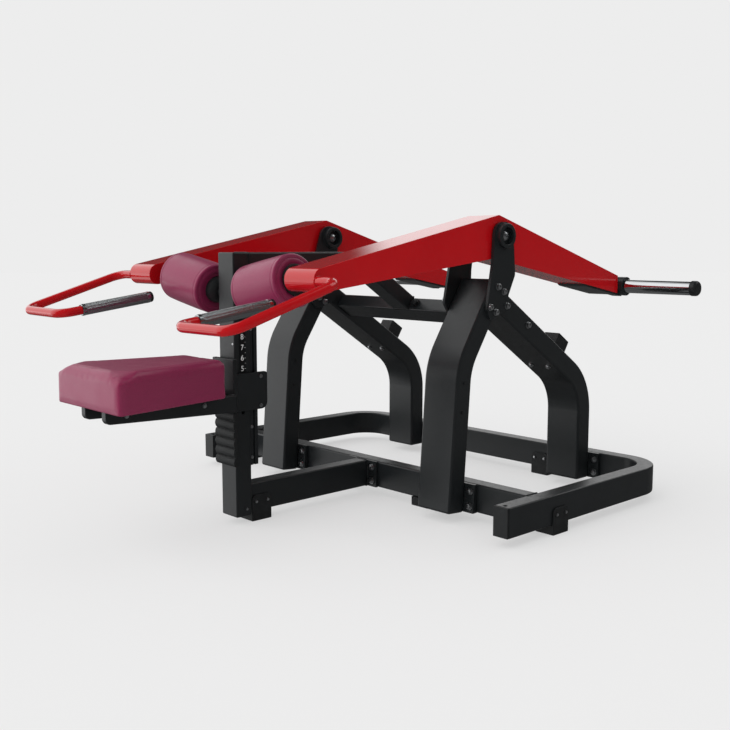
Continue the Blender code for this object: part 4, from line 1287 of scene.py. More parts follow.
@dataclass
class Column:
    """Upright with its row of holes, guide rail, number strip and ribbed guard."""

    width: float = 0.080
    depth: float = 0.057
    bottom: float = 0.024
    hole_radius: float = 0.006
    lowest_hole: float = 0.349
    pitch: float = 0.032
    holes: int = 7
    strip_bottom: float = 0.380
    strip_top: float = 0.690
    first_number: int = 2
    first_number_z: float = 0.387

    def build(self) -> None:
        """Build the upright and all that is fixed to it."""
        self.build_tube()
        self.build_guide()
        self.build_strip()
        self.build_guard()

    def build_tube(self) -> None:
        """Square tube with welded top plate and cross-drilled holes."""
        tube = box_solid((self.width, self.depth, COLUMN_TOP - self.bottom),
                         (0, COLUMN_Y, (COLUMN_TOP + self.bottom) / 2))
        tube = soften_edges(tube, 0.005, 4)
        tools = []
        for k in range(self.holes):
            z = self.lowest_hole + k * self.pitch
            profile = [(0, 0.05), (self.hole_radius, 0.05), (self.hole_radius, -0.05), (0, -0.05)]
            tools.append(turned_solid(profile, (0, COLUMN_Y, z), (1, 0, 0), steps=32))
        tube = cut(tube, join_solids(tools))
        finish_steel(tube, "column_tube", "column")
        screws = ScrewSet("column_screws", "frame", Screw.PAN, 0.0035, 0.0025, 0.0042)
        front = COLUMN_Y - self.depth / 2
        screws.add((0.030, front + 0.0030, 0.5585), (0, -1, 0))
        screws.add((0.0400, COLUMN_Y + 0.008, 0.047), (1, 0, 0))
        screws.add((-0.0400, COLUMN_Y + 0.008, 0.047), (-1, 0, 0))
        screws.build()

    def build_guide(self) -> None:
        """Grooved guide rail behind the upright."""
        front = COLUMN_REAR + GAP
        depth, half, groove = 0.031, 0.033, 0.006
        middle = front + depth / 2
        side = [(half, front), (half, middle - 0.003), (half - groove, middle - 0.003),
                (half - groove, middle + 0.003), (half, middle + 0.003), (half, front + depth)]
        outline = [Vector(p) for p in side + [(-x, y) for x, y in reversed(side)]]
        guide = flat_solid(outline, 0.520, "XY", 0.440)
        finish_steel(soften_edges(guide, 0.0012, 2), "guide_bar", "guide_rail")
        clips = ScrewSet("guide_screws", "frame", Screw.PAN, 0.0042, 0.003, 0.005)
        for z in (0.205, 0.300, 0.600, 0.680):
            for side_sign in (1, -1):
                clips.add((side_sign * half, front + 0.0065, z), (side_sign, 0, 0))
        clips.build()

    def build_strip(self) -> None:
        """Printed strip of plain seat numbers on the upright's right side."""
        x = self.width / 2 + GAP + 0.00045
        strip = box_solid(
            (0.0009, 0.022, self.strip_top - self.strip_bottom),
            (x, COLUMN_Y, (self.strip_top + self.strip_bottom) / 2))
        finish_piece(strip, "number_strip", "frame", LABEL_BLACK, ("number_plate",))
        surface = x + 0.00045
        prints = []
        for number in range(self.first_number, 10):
            z = self.first_number_z + (number - self.first_number) * self.pitch
            text = bpy.data.curves.new("digit", "FONT")
            text.body = str(number)
            text.size = 0.0235
            text.align_x = "CENTER"
            text.align_y = "CENTER"
            text.extrude = 0.00012
            mesh = plain_mesh(link(text, "digit"))
            mesh.transform(PLANES["YZ"].to_4x4())
            mesh.transform(Matrix.Translation((surface + 0.00012, COLUMN_Y - 0.0015, z)))
            prints.append(link(mesh, "digit"))
            for k, length in enumerate((0.004, 0.0022)):
                prints.append(
                    box_solid((0.00024, length, 0.0009),
                              (surface + 0.00012, COLUMN_Y + 0.0105 - length / 2, z + k * self.pitch / 2)))
        finish_piece(join_solids(prints), "number_prints", "frame", LABEL_INK)

    def build_guard(self) -> None:
        """Ribbed rubber guard on the upright's front, its lower corners rounded."""
        back = COLUMN_Y - self.depth / 2 - GAP
        bottom, top, ribs = 0.186, 0.3545, 6
        points = [Vector((back, top)), Vector((back, bottom))]
        steps = ribs * 14
        for k in range(steps + 1):
            z = bottom + (top - bottom) * k / steps
            bulge = abs(sin(pi * ribs * k / steps))
            points.append(Vector((back - 0.007 - 0.0075 * sqrt(bulge), z)))
        guard = flat_solid(points, 0.100, "YZ")
        guard = soften_edges(guard, 0.0035, 3, 60)
        finish_piece(guard, "ribbed_guard_cover", "frame", BLACK_RUBBER, ("ribbed_guard",), angle=50)


@dataclass
class LegFrame:
    """One A-frame: front leg, rear leg, bolted flanges, bumper and the pivot's two plates."""

    side: int
    word: str
    width: float = 0.136
    front_depth: float = 0.068
    rear_depth: float = 0.070
    lean: float = radians(57)
    junction: Pair = (0.2223, 0.6971)
    front_foot_y: float = 0.050
    front_knee_drop: float = 0.2529
    front_rise: float = 0.043
    rear_reach: float = 0.5995
    flange_width: float = 0.210
    bumper_reach: float = 0.4416
    bumper_top: float = 0.0958
    plate_thickness: float = 0.010
    plate_head: float = 0.043
    boss_radius: float = 0.039
    boss_recess: float = 0.027
    boss_height: float = 0.017
    bore: float = 0.0130

    @property
    def along_front(self) -> Vector:
        """Direction up the front leg's leaning part, in Y and Z."""
        return Vector((cos(self.lean), sin(self.lean)))

    @property
    def along_rear(self) -> Vector:
        """Direction down the rear leg's leaning part, in Y and Z."""
        return Vector((sin(self.lean), -cos(self.lean)))

    @property
    def x(self) -> float:
        """Middle of the leg across the machine."""
        return self.side * LEG_X

    def point(self, along: float, out: float) -> Vector:
        """Point in Y and Z, measured from the legs' junction along the rear leg and out of its face."""
        return Vector(self.junction) + self.along_rear * along + self.along_front * out

    def build(self) -> None:
        """Build the legs, flanges, bumper, plates and fasteners."""
        self.build_legs()
        self.build_flanges()
        self.build_bumper()
        self.build_plates()
        self.build_bolts()

    def build_legs(self) -> None:
        """Two bent tubes, the rear one butted and welded to the front one."""
        top = Vector(self.junction) + self.along_front * self.front_rise
        knee = Vector(self.junction) - self.along_front * self.front_knee_drop
        path = [(self.front_foot_y, FOOT_HEIGHT), tuple(knee), tuple(top)]
        front = flat_solid(bar_outline(path, self.front_depth, (0.20,)), self.width, "YZ", self.x)
        finish_steel(soften_edges(front, 0.008, 4), f"front_leg_tube_{self.word}", f"front_leg_{self.word}")
        start = self.point(self.front_depth / 2 + GAP, 0)
        knee = self.point(self.rear_reach, 0)
        path = [tuple(start), tuple(knee), (knee.x, FOOT_HEIGHT)]
        rear = flat_solid(bar_outline(path, self.rear_depth, (0.18,)), self.width, "YZ", self.x)
        finish_steel(soften_edges(rear, 0.008, 4), f"rear_leg_tube_{self.word}", f"rear_leg_{self.word}")
        seam = []
        half = self.rear_depth / 2
        for out, across in ((half, 1), (half, -1), (-half, -1), (-half, 1)):
            place = self.point(self.front_depth / 2, out * 0.98)
            seam.append(Vector((self.x + across * (self.width / 2 - 0.002), place.x, place.y)))
        weld_beads(f"leg_beads_{self.word}", "frame", [(seam, True)], BLACK_PAINT, 0.003)

    def build_flanges(self) -> None:
        """Foot flanges of both legs, with their hex bolts."""
        knee = Vector(self.junction) - self.along_front * self.front_knee_drop
        lean = (knee.x - self.front_foot_y) / (knee.y - FOOT_HEIGHT)
        wall = self.front_depth / 2 * hypot(1, lean)
        bar = CROSSBAR_Y - BASE_WIDTH / 2 - GAP

        def rear_face(z: float) -> float:
            """Y of the front leg's rear face at a height."""
            return self.front_foot_y + lean * (z - FOOT_HEIGHT) + wall + GAP

        wedge = [Vector((rear_face(FOOT_HEIGHT), FOOT_HEIGHT)), Vector((bar, FOOT_HEIGHT)),
                 Vector((bar, BASE_TOP)), Vector((rear_face(BASE_TOP), BASE_TOP))]
        flange = flat_solid(wedge, self.flange_width, "YZ", self.x)
        finish_steel(soften_edges(flange, 0.0015, 2), f"front_flange_plate_{self.word}",
                     f"front_leg_flange_{self.word}")
        rear_y = self.point(self.rear_reach, 0).x + self.rear_depth / 2 + GAP
        rail = RAIL_REAR_Y - BASE_WIDTH / 2 - GAP
        plate = box_solid(
            (self.flange_width, rail - rear_y, BASE_DEPTH), (self.x, (rail + rear_y) / 2, BASE_MIDDLE))
        finish_steel(soften_edges(plate, 0.0015, 2), f"rear_flange_plate_{self.word}",
                     f"rear_leg_flange_{self.word}")
        bolts = ScrewSet(f"leg_flange_bolts_{self.word}", "frame", Screw.HEX, 0.0095, 0.0075, 0.0125)
        for across in (-0.088, 0.088):
            for z in (0.052, 0.098):
                bolts.add((self.x + across, rear_face(z) - 0.0002, z), (0, -1, 0.0))
                bolts.add((self.x + across, rear_y, z), (0, -1, 0))
        bolts.build()

    def build_bumper(self) -> None:
        """Rubber block on the rear leg that the lever comes down on."""
        low = self.rear_depth / 2 + GAP
        centre = self.point(self.bumper_reach, (low + self.bumper_top) / 2)
        turn = Matrix.Rotation(atan2(self.along_rear.y, self.along_rear.x), 4, "X")
        block = box_solid((0.064, 0.066, self.bumper_top - low), (self.x, *centre), turn)
        block = soften_edges(block, 0.004, 3)
        finish_piece(block, f"bumper_block_{self.word}", "frame", BLACK_RUBBER, (f"bumper_{self.word}",))

    def build_plates(self) -> None:
        """Cheek plates with their boss rings, and the zinc shaft between them."""
        head = [(PIVOT.x + self.plate_head, PIVOT.y + self.plate_head, self.plate_head - 0.002),
                (PIVOT.x - self.plate_head, PIVOT.y + self.plate_head, self.plate_head - 0.002)]
        outlines = {"outer": [(0.197, 0.800, 0.100), (0.171, 0.656, 0.008), (0.186, 0.620, 0.016),
                              (0.288, 0.660, 0.020), (0.273, 0.694, 0.010), (0.306, 0.760, 0.020), *head],
                    "inner": [(0.1615, 0.790, 0.060), (0.137, 0.671, 0.008), (0.170, 0.622, 0.016),
                              (0.262, 0.648, 0.020), (0.2656, 0.775, 0.060), *head]}
        face = self.width / 2 + GAP
        for direction, layer in ((1, "outer"), (-1, "inner")):
            out = self.side * direction
            middle = self.x + out * (face + self.plate_thickness / 2)
            plate = flat_solid(rounded_outline(outlines[layer]), self.plate_thickness, "YZ", middle,
                               holes=(circle_points(PIVOT, self.bore),))
            plate = soften_edges(plate, 0.0012, 2, 60)
            top = self.plate_thickness * 0.5 + self.boss_height
            ring = [(self.boss_recess, top - 0.0012), (self.boss_recess + 0.0012, top)]
            ring += arc((self.boss_radius - 0.003, top - 0.003), 0.003, 90, 0, 4)
            ring += [(self.boss_radius, 0.0), (self.bore, 0.0), (self.bore, 0.0055),
                     (self.boss_recess, 0.0055)]
            boss = turned_solid(ring, (middle, *PIVOT), (out, 0, 0), closed=True, steps=72)
            finish_steel(join_solids([plate, boss]), f"cheek_plate_{layer}_{self.word}",
                         f"pivot_plate_{layer}_{self.word}")
            seam = [Vector((middle + out * (self.plate_thickness * 0.5), *p))
                    for p in circle_points(PIVOT, self.boss_radius + 0.0006, 40)]
            weld_beads(f"boss_bead_{layer}_{self.word}", "frame", [(seam, True)], BLACK_PAINT, 0.0022)
        self.build_shaft(face + self.plate_thickness + GAP)

    def build_shaft(self, half: float) -> None:
        """Shaft with a domed, washered head at each end, each with a shallow round socket.

        Args:
            half: from the shaft's middle to the plates' outer faces.
        """
        washer, head = 0.0150, 0.0136
        ends = [(0, half + 0.0078), (0.0042, half + 0.0078), (0.0050, half + 0.0112)]
        ends += arc((0, half - 0.0116), 0.0228, 77, 53.4, 8)
        ends += [(head, half + 0.0026), (washer - 0.0005, half + 0.0026), (washer, half + 0.0021),
                 (washer, half + 0.0002), (0.0124, half + 0.0002)]
        profile = ends + [(radius, -height) for radius, height in reversed(ends)]
        shaft = turned_solid(profile, (self.x, *PIVOT), (1, 0, 0), steps=48)
        finish_piece(shaft, f"pivot_bolt_{self.word}", "frame", ZINC, (f"pivot_shaft_{self.word}",))

    def build_bolts(self) -> None:
        """Socket screws on the cheek plates and the rear leg, and the bumper's bolts."""
        outer = self.width / 2 + GAP + self.plate_thickness
        screws = ScrewSet(f"cheek_screws_{self.word}", "frame", Screw.SOCKET, 0.0090, 0.0080, 0.0112)
        for y, z in ((0.222, 0.725), (0.250, 0.709), (0.185, 0.663), (0.212, 0.646)):
            for direction in (1, -1):
                screws.add((self.x + self.side * direction * outer, y, z), (self.side * direction, 0, 0))
        screws.add((self.x + self.side * outer, 0.267, 0.664), (self.side, 0, 0))
        screws.add((self.x - self.side * outer, 0.154, 0.681), (-self.side, 0, 0))
        screws.add((self.x + self.side * self.width / 2, 0.390, 0.596), (self.side, 0, 0))
        screws.build()
        bolts = ScrewSet(f"bumper_bolts_{self.word}", "frame", Screw.HEX, 0.0075, 0.0060, 0.0100)
        under = self.point(0.412, -self.rear_depth / 2)
        for across in (-0.036, 0.036):
            bolts.add((self.x + across, *under), (0, *(-self.along_front)))
        bolts.build()
        plugs = ScrewSet(f"leg_plugs_{self.word}", "frame", Screw.PAN, 0.0040, 0.0022, 0.0048, BLACK_PLASTIC)
        for y, z in ((0.079, 0.434), (0.071, 0.345)):
            for direction in (1, -1):
                plugs.add((self.x + direction * self.width / 2, y, z), (direction, 0, 0))
        plugs.build()


@dataclass
class TopBeam:
    """Bent beam from the column down to the crossbeam between the A-frames."""

    width: float = 0.078
    height: float = 0.053
    knee_y: float = 0.060
    bend: float = 0.20
    cross_reach: float = 0.1261
    cross_depth: float = 0.082
    cross_height: float = 0.050

    def build(self, legs: LegFrame) -> None:
        """Build the beam and the crossbeam.

        Args:
            legs: one A-frame, for its slope and junction.
        """
        cross = legs.point(self.cross_reach, 0)
        turn = Matrix.Rotation(atan2(legs.along_rear.y, legs.along_rear.x), 4, "X")
        inside = LEG_X - legs.width / 2 - GAP
        tube = box_solid((2 * inside, self.cross_depth, self.cross_height), (0, *cross), turn)
        finish_steel(soften_edges(tube, TUBE_EDGE, 4), "crossbeam_tube", "upper_cross_tube")
        knee = Vector((self.knee_y, COLUMN_TOP - self.height / 2))
        run = (cross - knee).dot(legs.along_rear) - self.cross_depth / 2 - GAP
        end = knee + legs.along_rear * run
        path = [(COLUMN_REAR + GAP, knee.y), tuple(knee), tuple(end)]
        beam = flat_solid(bar_outline(path, self.height, (self.bend,)), self.width, "YZ", 0.0)
        finish_steel(soften_edges(beam, TUBE_EDGE, 4), "top_beam_tube", "top_beam")
        half = self.height / 2
        seam = []
        for out, across in ((half, 1), (half, -1), (-half, -1), (-half, 1)):
            place = end + legs.along_front * out * 0.95
            seam.append(Vector((across * (self.width / 2 - 0.001), place.x, place.y)))
        weld_beads(
            "top_beam_beads", "frame",
            [(seam, True),
             (rectangle_path((0, COLUMN_REAR + GAP, knee.y - 0.0005), self.width / 2, half - 0.0008, "XZ"),
              True)], BLACK_PAINT, 0.0026)
        bolts = ScrewSet("crossbeam_bolts", "frame", Screw.HEX, 0.0125, 0.0150, 0.0145, BLACK_PLASTIC)
        for side, _ in SIDES:
            place = cross - legs.along_rear * self.cross_depth / 2 + legs.along_front * 0.004
            bolts.add((side * 0.064, *place), (0, *(-legs.along_rear)))
        bolts.build()


@dataclass
class LeverArm:
    """One lever: tapered red box beam, handle with its grip, and the weight horn."""

    side: int
    word: str
    width: float = 0.125
    edge: float = 0.006
    nose_y: float = -0.5145
    apex: Pair = (0.239, 0.947)
    armpit: Pair = (0.216, 0.812)
    rear_y: float = 0.916
    rear_top: float = 0.746
    rear_bottom: float = 0.683
    tube_radius: float = 0.0135
    bend: float = 0.042
    grip_radius: float = 0.018
    grip_length: float = 0.236
    horn_y: float = 0.950
    horn_z: float = 0.707
    horn_radius: float = 0.0243
    boss_radius: float = 0.0337

    @property
    def body(self) -> str:
        """The body that the lever's pieces ride on."""
        return f"arm_{self.word}"

    @property
    def x(self) -> float:
        """Middle of the lever across the machine."""
        return self.side * ARM_X

    def build(self) -> None:
        """Build the beam, handle, grip and horn."""
        self.build_beam()
        self.build_handle()
        self.build_horn()

    def build_beam(self) -> None:
        """Folded and welded box beam that tapers from the pivot to both ends."""
        slope = (self.apex[1] - 0.794) / (self.apex[0] + 0.484)
        nose_top = self.apex[1] - slope * (self.apex[0] - self.nose_y)
        nose_bottom = self.armpit[1] - 0.12 * (self.armpit[0] - self.nose_y)
        outline = rounded_outline(
            [(self.nose_y, nose_top, 0.032), (self.nose_y, nose_bottom, 0.029), (*self.armpit, 0.030),
             (self.rear_y, self.rear_bottom, 0), (self.rear_y, self.rear_top, 0), (*self.apex, 0.012)])
        beam = soften_edges(
            flat_solid(outline, self.width, "YZ", self.x, holes=(circle_points(PIVOT, 0.0127),)), self.edge,
            4)
        finish_piece(beam, f"lever_beam_{self.word}", self.body, RED_PAINT, (f"arm_beam_{self.word}",))

    def build_handle(self) -> None:
        """Bent tube welded to the beam, with a knurled grip on its end."""
        outer = ARM_X + self.width / 2 + GAP
        corners = [Vector((outer - 0.002, -0.501, 0.757)), Vector((0.560, -0.501, 0.757)),
                   Vector((0.559, -0.840, 0.651)), Vector((0.316, -0.836, 0.649)),
                   Vector((0.318, -0.536, 0.690))]
        corners = [Vector((self.side * p.x, p.y, p.z)) for p in corners]
        tube = round_tube(rounded_route(corners, self.bend), self.tube_radius, 40)
        finish_piece(tube, f"handle_bar_{self.word}", self.body, RED_PAINT, (f"handle_tube_{self.word}",))
        seam = [Vector((self.side * (outer - 0.0004), corners[0].y + dy, corners[0].z + dz))
                for dy, dz in circle_points(Vector((0, 0)), self.tube_radius + 0.0004, 28)]
        weld_beads(f"handle_bead_{self.word}", self.body, [(seam, True)], RED_PAINT, 0.0022)
        self.build_grip(corners[3], corners[4])

    def build_grip(self, front: Vector, rear: Vector) -> None:
        """Knurled sleeve between smooth collars, closed by a domed cap.

        Args:
            front: the handle's last bend.
            rear: the handle's end.
        """
        along = (rear - front).normalized()
        start = rear - along * 0.002
        inner, rim, radius = self.tube_radius + 0.0004, 0.0018, self.grip_radius
        profile = [(inner, 0), (radius - rim, 0), *arc((radius - rim, -rim), rim, 80, 0, 4), (radius, -0.010),
                   (radius - 0.0007, -0.0112), (radius - 0.0007, 0.0112 - self.grip_length),
                   (radius, 0.010 - self.grip_length), (radius, rim - self.grip_length),
                   (radius - rim, -self.grip_length), (inner, -self.grip_length)]
        sleeve = turned_solid(profile, start, along, closed=True, steps=64)
        knurl = self.knurl_seeds(start, along, radius - 0.0007)
        points = rule_for("knurl", knurl_rule).run(knurl, KNURLED_CHROME)
        points.data.materials.clear()
        finish_piece(join_solids([sleeve, points]), f"knurled_grip_{self.word}", self.body, KNURLED_CHROME,
                     (f"grip_sleeve_{self.word}",), angle=20)
        top = 0.002 + GAP + 0.008
        cap = [(0, top + 0.0004), (radius - 0.008, top)] + arc((radius - 0.005, top - 0.004), 0.004, 80, 0, 5)
        cap += [(radius - 0.001, 0.002 + GAP), (0, 0.002 + GAP)]
        finish_piece(turned_solid(cap, start, along, steps=48), f"grip_end_cap_{self.word}", self.body,
                     BLACK_PLASTIC, (f"grip_cap_{self.word}",))

    def knurl_seeds(self, start: Vector, along: Vector, radius: float) -> Solid:
        """Points of a knurl in a staggered pattern, facing outwards.

        Args:
            start: the grip's rear end.
            along: the grip's direction, towards its rear end.
            radius: the surface that the points stand on.

        Returns:
            A mesh of loose points.
        """
        pitch = 0.0030
        turns = round(2 * pi * radius / pitch)
        rows = int((self.grip_length - 0.0235) / (pitch * 0.55))
        across = along.orthogonal().normalized()
        other = along.cross(across)
        places, facings = [], []
        for row in range(rows):
            middle = start - along * (0.0122 + (row + 0.5) * pitch * 0.55)
            for k in range(turns):
                angle = 2 * pi * (k + 0.5 * (row % 2)) / turns
                out = across * cos(angle) + other * sin(angle)
                places.append(middle + out * radius)
                facings.append(out)
        return points_mesh(places, facings)

    def build_horn(self) -> None:
        """Cross boss and plate at the lever's rear end, chrome horn and rounded cap."""
        fall = (self.armpit[1] - self.rear_bottom) / (self.rear_y - self.armpit[0])

        def under(y: float) -> float:
            """Height of the beam's underside."""
            return self.armpit[1] - fall * (y - self.armpit[0]) - GAP

        front, rear, thick = 0.715, 0.950, 0.006
        outline = [Vector((front, under(front))), Vector((front + 0.012, under(front + 0.012) - thick)),
                   Vector((rear, under(rear) - thick)), Vector((rear, under(rear)))]
        plate = flat_solid(outline, 0.117, "YZ", self.x)
        notch = box_solid((0.1, 0.1, 0.2), (self.side * (0.431 - 0.05), self.rear_y + 0.05, self.rear_bottom))
        plate = soften_edges(cut(plate, notch), 0.0012, 2)
        begin, end = 0.429, 0.490 - GAP
        radius = self.boss_radius
        length = end - begin
        boss = [(0, length), (radius - 0.0025, length),
                *arc((radius - 0.002, length - 0.002), 0.002, 80, 0, 4),
                *arc((radius - 0.002, 0.002), 0.002, 0, -80, 4), (radius - 0.0025, 0), (0, 0)]
        boss_solid = turned_solid(
            boss, (self.side * begin, self.horn_y, self.horn_z), (self.side, 0, 0), steps=72)
        finish_piece(join_solids([plate, boss_solid]), f"horn_mount_{self.word}", self.body, BLACK_PAINT,
                     (f"horn_bracket_{self.word}",))
        axis = (self.side, 0, 0)
        length = 0.744 - 0.490
        sleeve = turned_solid(
            [(0, length), (self.horn_radius, length), (self.horn_radius, 0), (0, 0)],
            (self.side * 0.490, self.horn_y, self.horn_z), axis, steps=96)
        finish_piece(sleeve, f"weight_horn_{self.word}", self.body, CHROME, (f"horn_sleeve_{self.word}",))
        length, radius = 0.770 - 0.744 - GAP, 0.0262
        cap = [(0, length), (radius - 0.012, length - 0.0008),
               *arc((radius - 0.010, length - 0.011), 0.010, 75, 0, 8), (radius, 0.0012),
               (radius - 0.0012, 0), (0, 0)]
        finish_piece(turned_solid(cap, (self.side * (0.744 + GAP), self.horn_y, self.horn_z), axis, steps=64),
                     f"horn_end_cap_{self.word}", self.body, BLACK_PLASTIC, (f"horn_cap_{self.word}",))


@dataclass
class Cushion:
    """Seat cushion: a foam block under vinyl that narrows to the rear, its upper front corners cut off."""

    half_width: float = 0.1785
    rear_half_width: float = 0.1035
    front: float = -0.9225
    rear: float = -0.538
    bottom: float = 0.410
    corner_low: float = 0.4955
    shoulder: float = 0.5095
    top: float = 0.5225
    chamfer: float = 0.010
    corner: float = 0.008
    shoulder_corner: float = 0.044
    top_corner: float = 0.058
    edge: float = 0.0045
    board_inset: float = 0.020
    cell: float = 0.0042
    pressure: float = 4.0
    last_frame: int = 14
    swell_cap: float = 0.0016

    def outline(self, inset: float, corner: float) -> list[Vector]:
        """Plan of the cushion, drawn in and with its front corners cut.

        Args:
            inset: how far it is drawn in all round.
            corner: length cut off each front corner.

        Returns:
            The outline's eight points.
        """
        taper = (self.half_width - self.rear_half_width) / (self.rear - self.front)
        low, high, rear_corner = self.front + inset, self.rear - inset, 0.004

        def half(y: float) -> float:
            """Half the width at a place along the cushion."""
            return self.half_width - taper * (y - self.front) - inset

        right = [(half(low) - corner, low), (half(low + corner), low + corner),
                 (half(high - rear_corner), high - rear_corner), (half(high) - rear_corner, high)]
        return [Vector(p) for p in right + [(-x, y) for x, y in reversed(right)]]

    def shell(self) -> Solid:
        """Closed shell with rounded edges, in even cells.

        Returns:
            The shell, in its own place.
        """
        rings = [(self.outline(0, self.corner), self.bottom), (self.outline(0, self.corner), self.corner_low),
                 (self.outline(0, self.shoulder_corner), self.shoulder),
                 (self.outline(self.chamfer, self.top_corner), self.top)]
        work = bmesh.new()
        rows = [[work.verts.new((p.x, p.y, z)) for p in points] for points, z in rings]
        count = len(rows[0])
        for lower, upper in zip(rows, rows[1:]):
            for k in range(count):
                ahead = (k + 1) % count
                work.faces.new((lower[k], lower[ahead], upper[ahead], upper[k]))
        work.faces.new(rows[0][::-1])
        work.faces.new(rows[-1])
        bmesh.ops.recalc_face_normals(work, faces=work.faces)
        mesh = mesh_of(work, "cushion")
        block = soften_edges(link(mesh, "cushion"), self.edge, 4, 15)
        remesh = block.modifiers.new("cells", "REMESH")
        remesh.mode = "VOXEL"
        remesh.voxel_size = self.cell
        remesh.adaptivity = 0.0
        return link(plain_mesh(block), "cushion")

    def swell(self, piece: Solid) -> Solid:
        """Let the foam push the cover out a little between its held edges.

        Args:
            piece: the cushion's shell.

        Returns:
            The swollen shell, no point moved further than the cap.
        """
        before = [v.co.copy() for v in piece.data.vertices]
        held = piece.vertex_groups.new(name="held")
        for v in piece.data.vertices:
            if v.co.z < self.bottom + 0.010:
                held.add([v.index], 1.0, "ADD")
        cloth = piece.modifiers.new("cover", "CLOTH")
        settings = cloth.settings
        settings.quality = 5
        settings.mass = 0.4
        settings.tension_stiffness = 40
        settings.compression_stiffness = 40
        settings.shear_stiffness = 20
        settings.bending_stiffness = 8
        settings.use_pressure = True
        settings.uniform_pressure_force = self.pressure
        settings.vertex_group_mass = "held"
        settings.effector_weights.gravity = 0.0
        cloth.collision_settings.use_self_collision = False
        scene = bpy.context.scene
        for number in range(1, self.last_frame + 1):
            scene.frame_set(number)
        mesh = plain_mesh(piece)
        scene.frame_set(1)
        for v, old in zip(mesh.vertices, before):
            move = v.co - old
            if move.length > self.swell_cap:
                move *= self.swell_cap / move.length
            v.co = old + move
        return link(mesh, "swollen")

    def build(self) -> None:
        """Build the cushion, its swollen cover and the board let into its underside."""
        shell = self.shell()
        shell = self.swell(shell)
        easing = shell.modifiers.new("easing", "SMOOTH")
        easing.factor = 0.5
        easing.iterations = 3
        pocket = flat_solid(self.outline(self.board_inset - GAP, self.corner), 0.0246, "XY", self.bottom)
        shell = cut(link(plain_mesh(shell), "eased"), pocket)
        pad = finish_piece(shell, "seat_cushion", "seat_carriage", MAROON_VINYL, ("seat_pad",), angle=50)
        board = flat_solid(self.outline(self.board_inset, self.corner), 0.012, "XY", self.bottom + 0.006)
        finish_piece(soften_edges(board, 0.002, 2), "seat_base_board", "seat_carriage", STAINED_BOARD,
                     ("seat_board",))


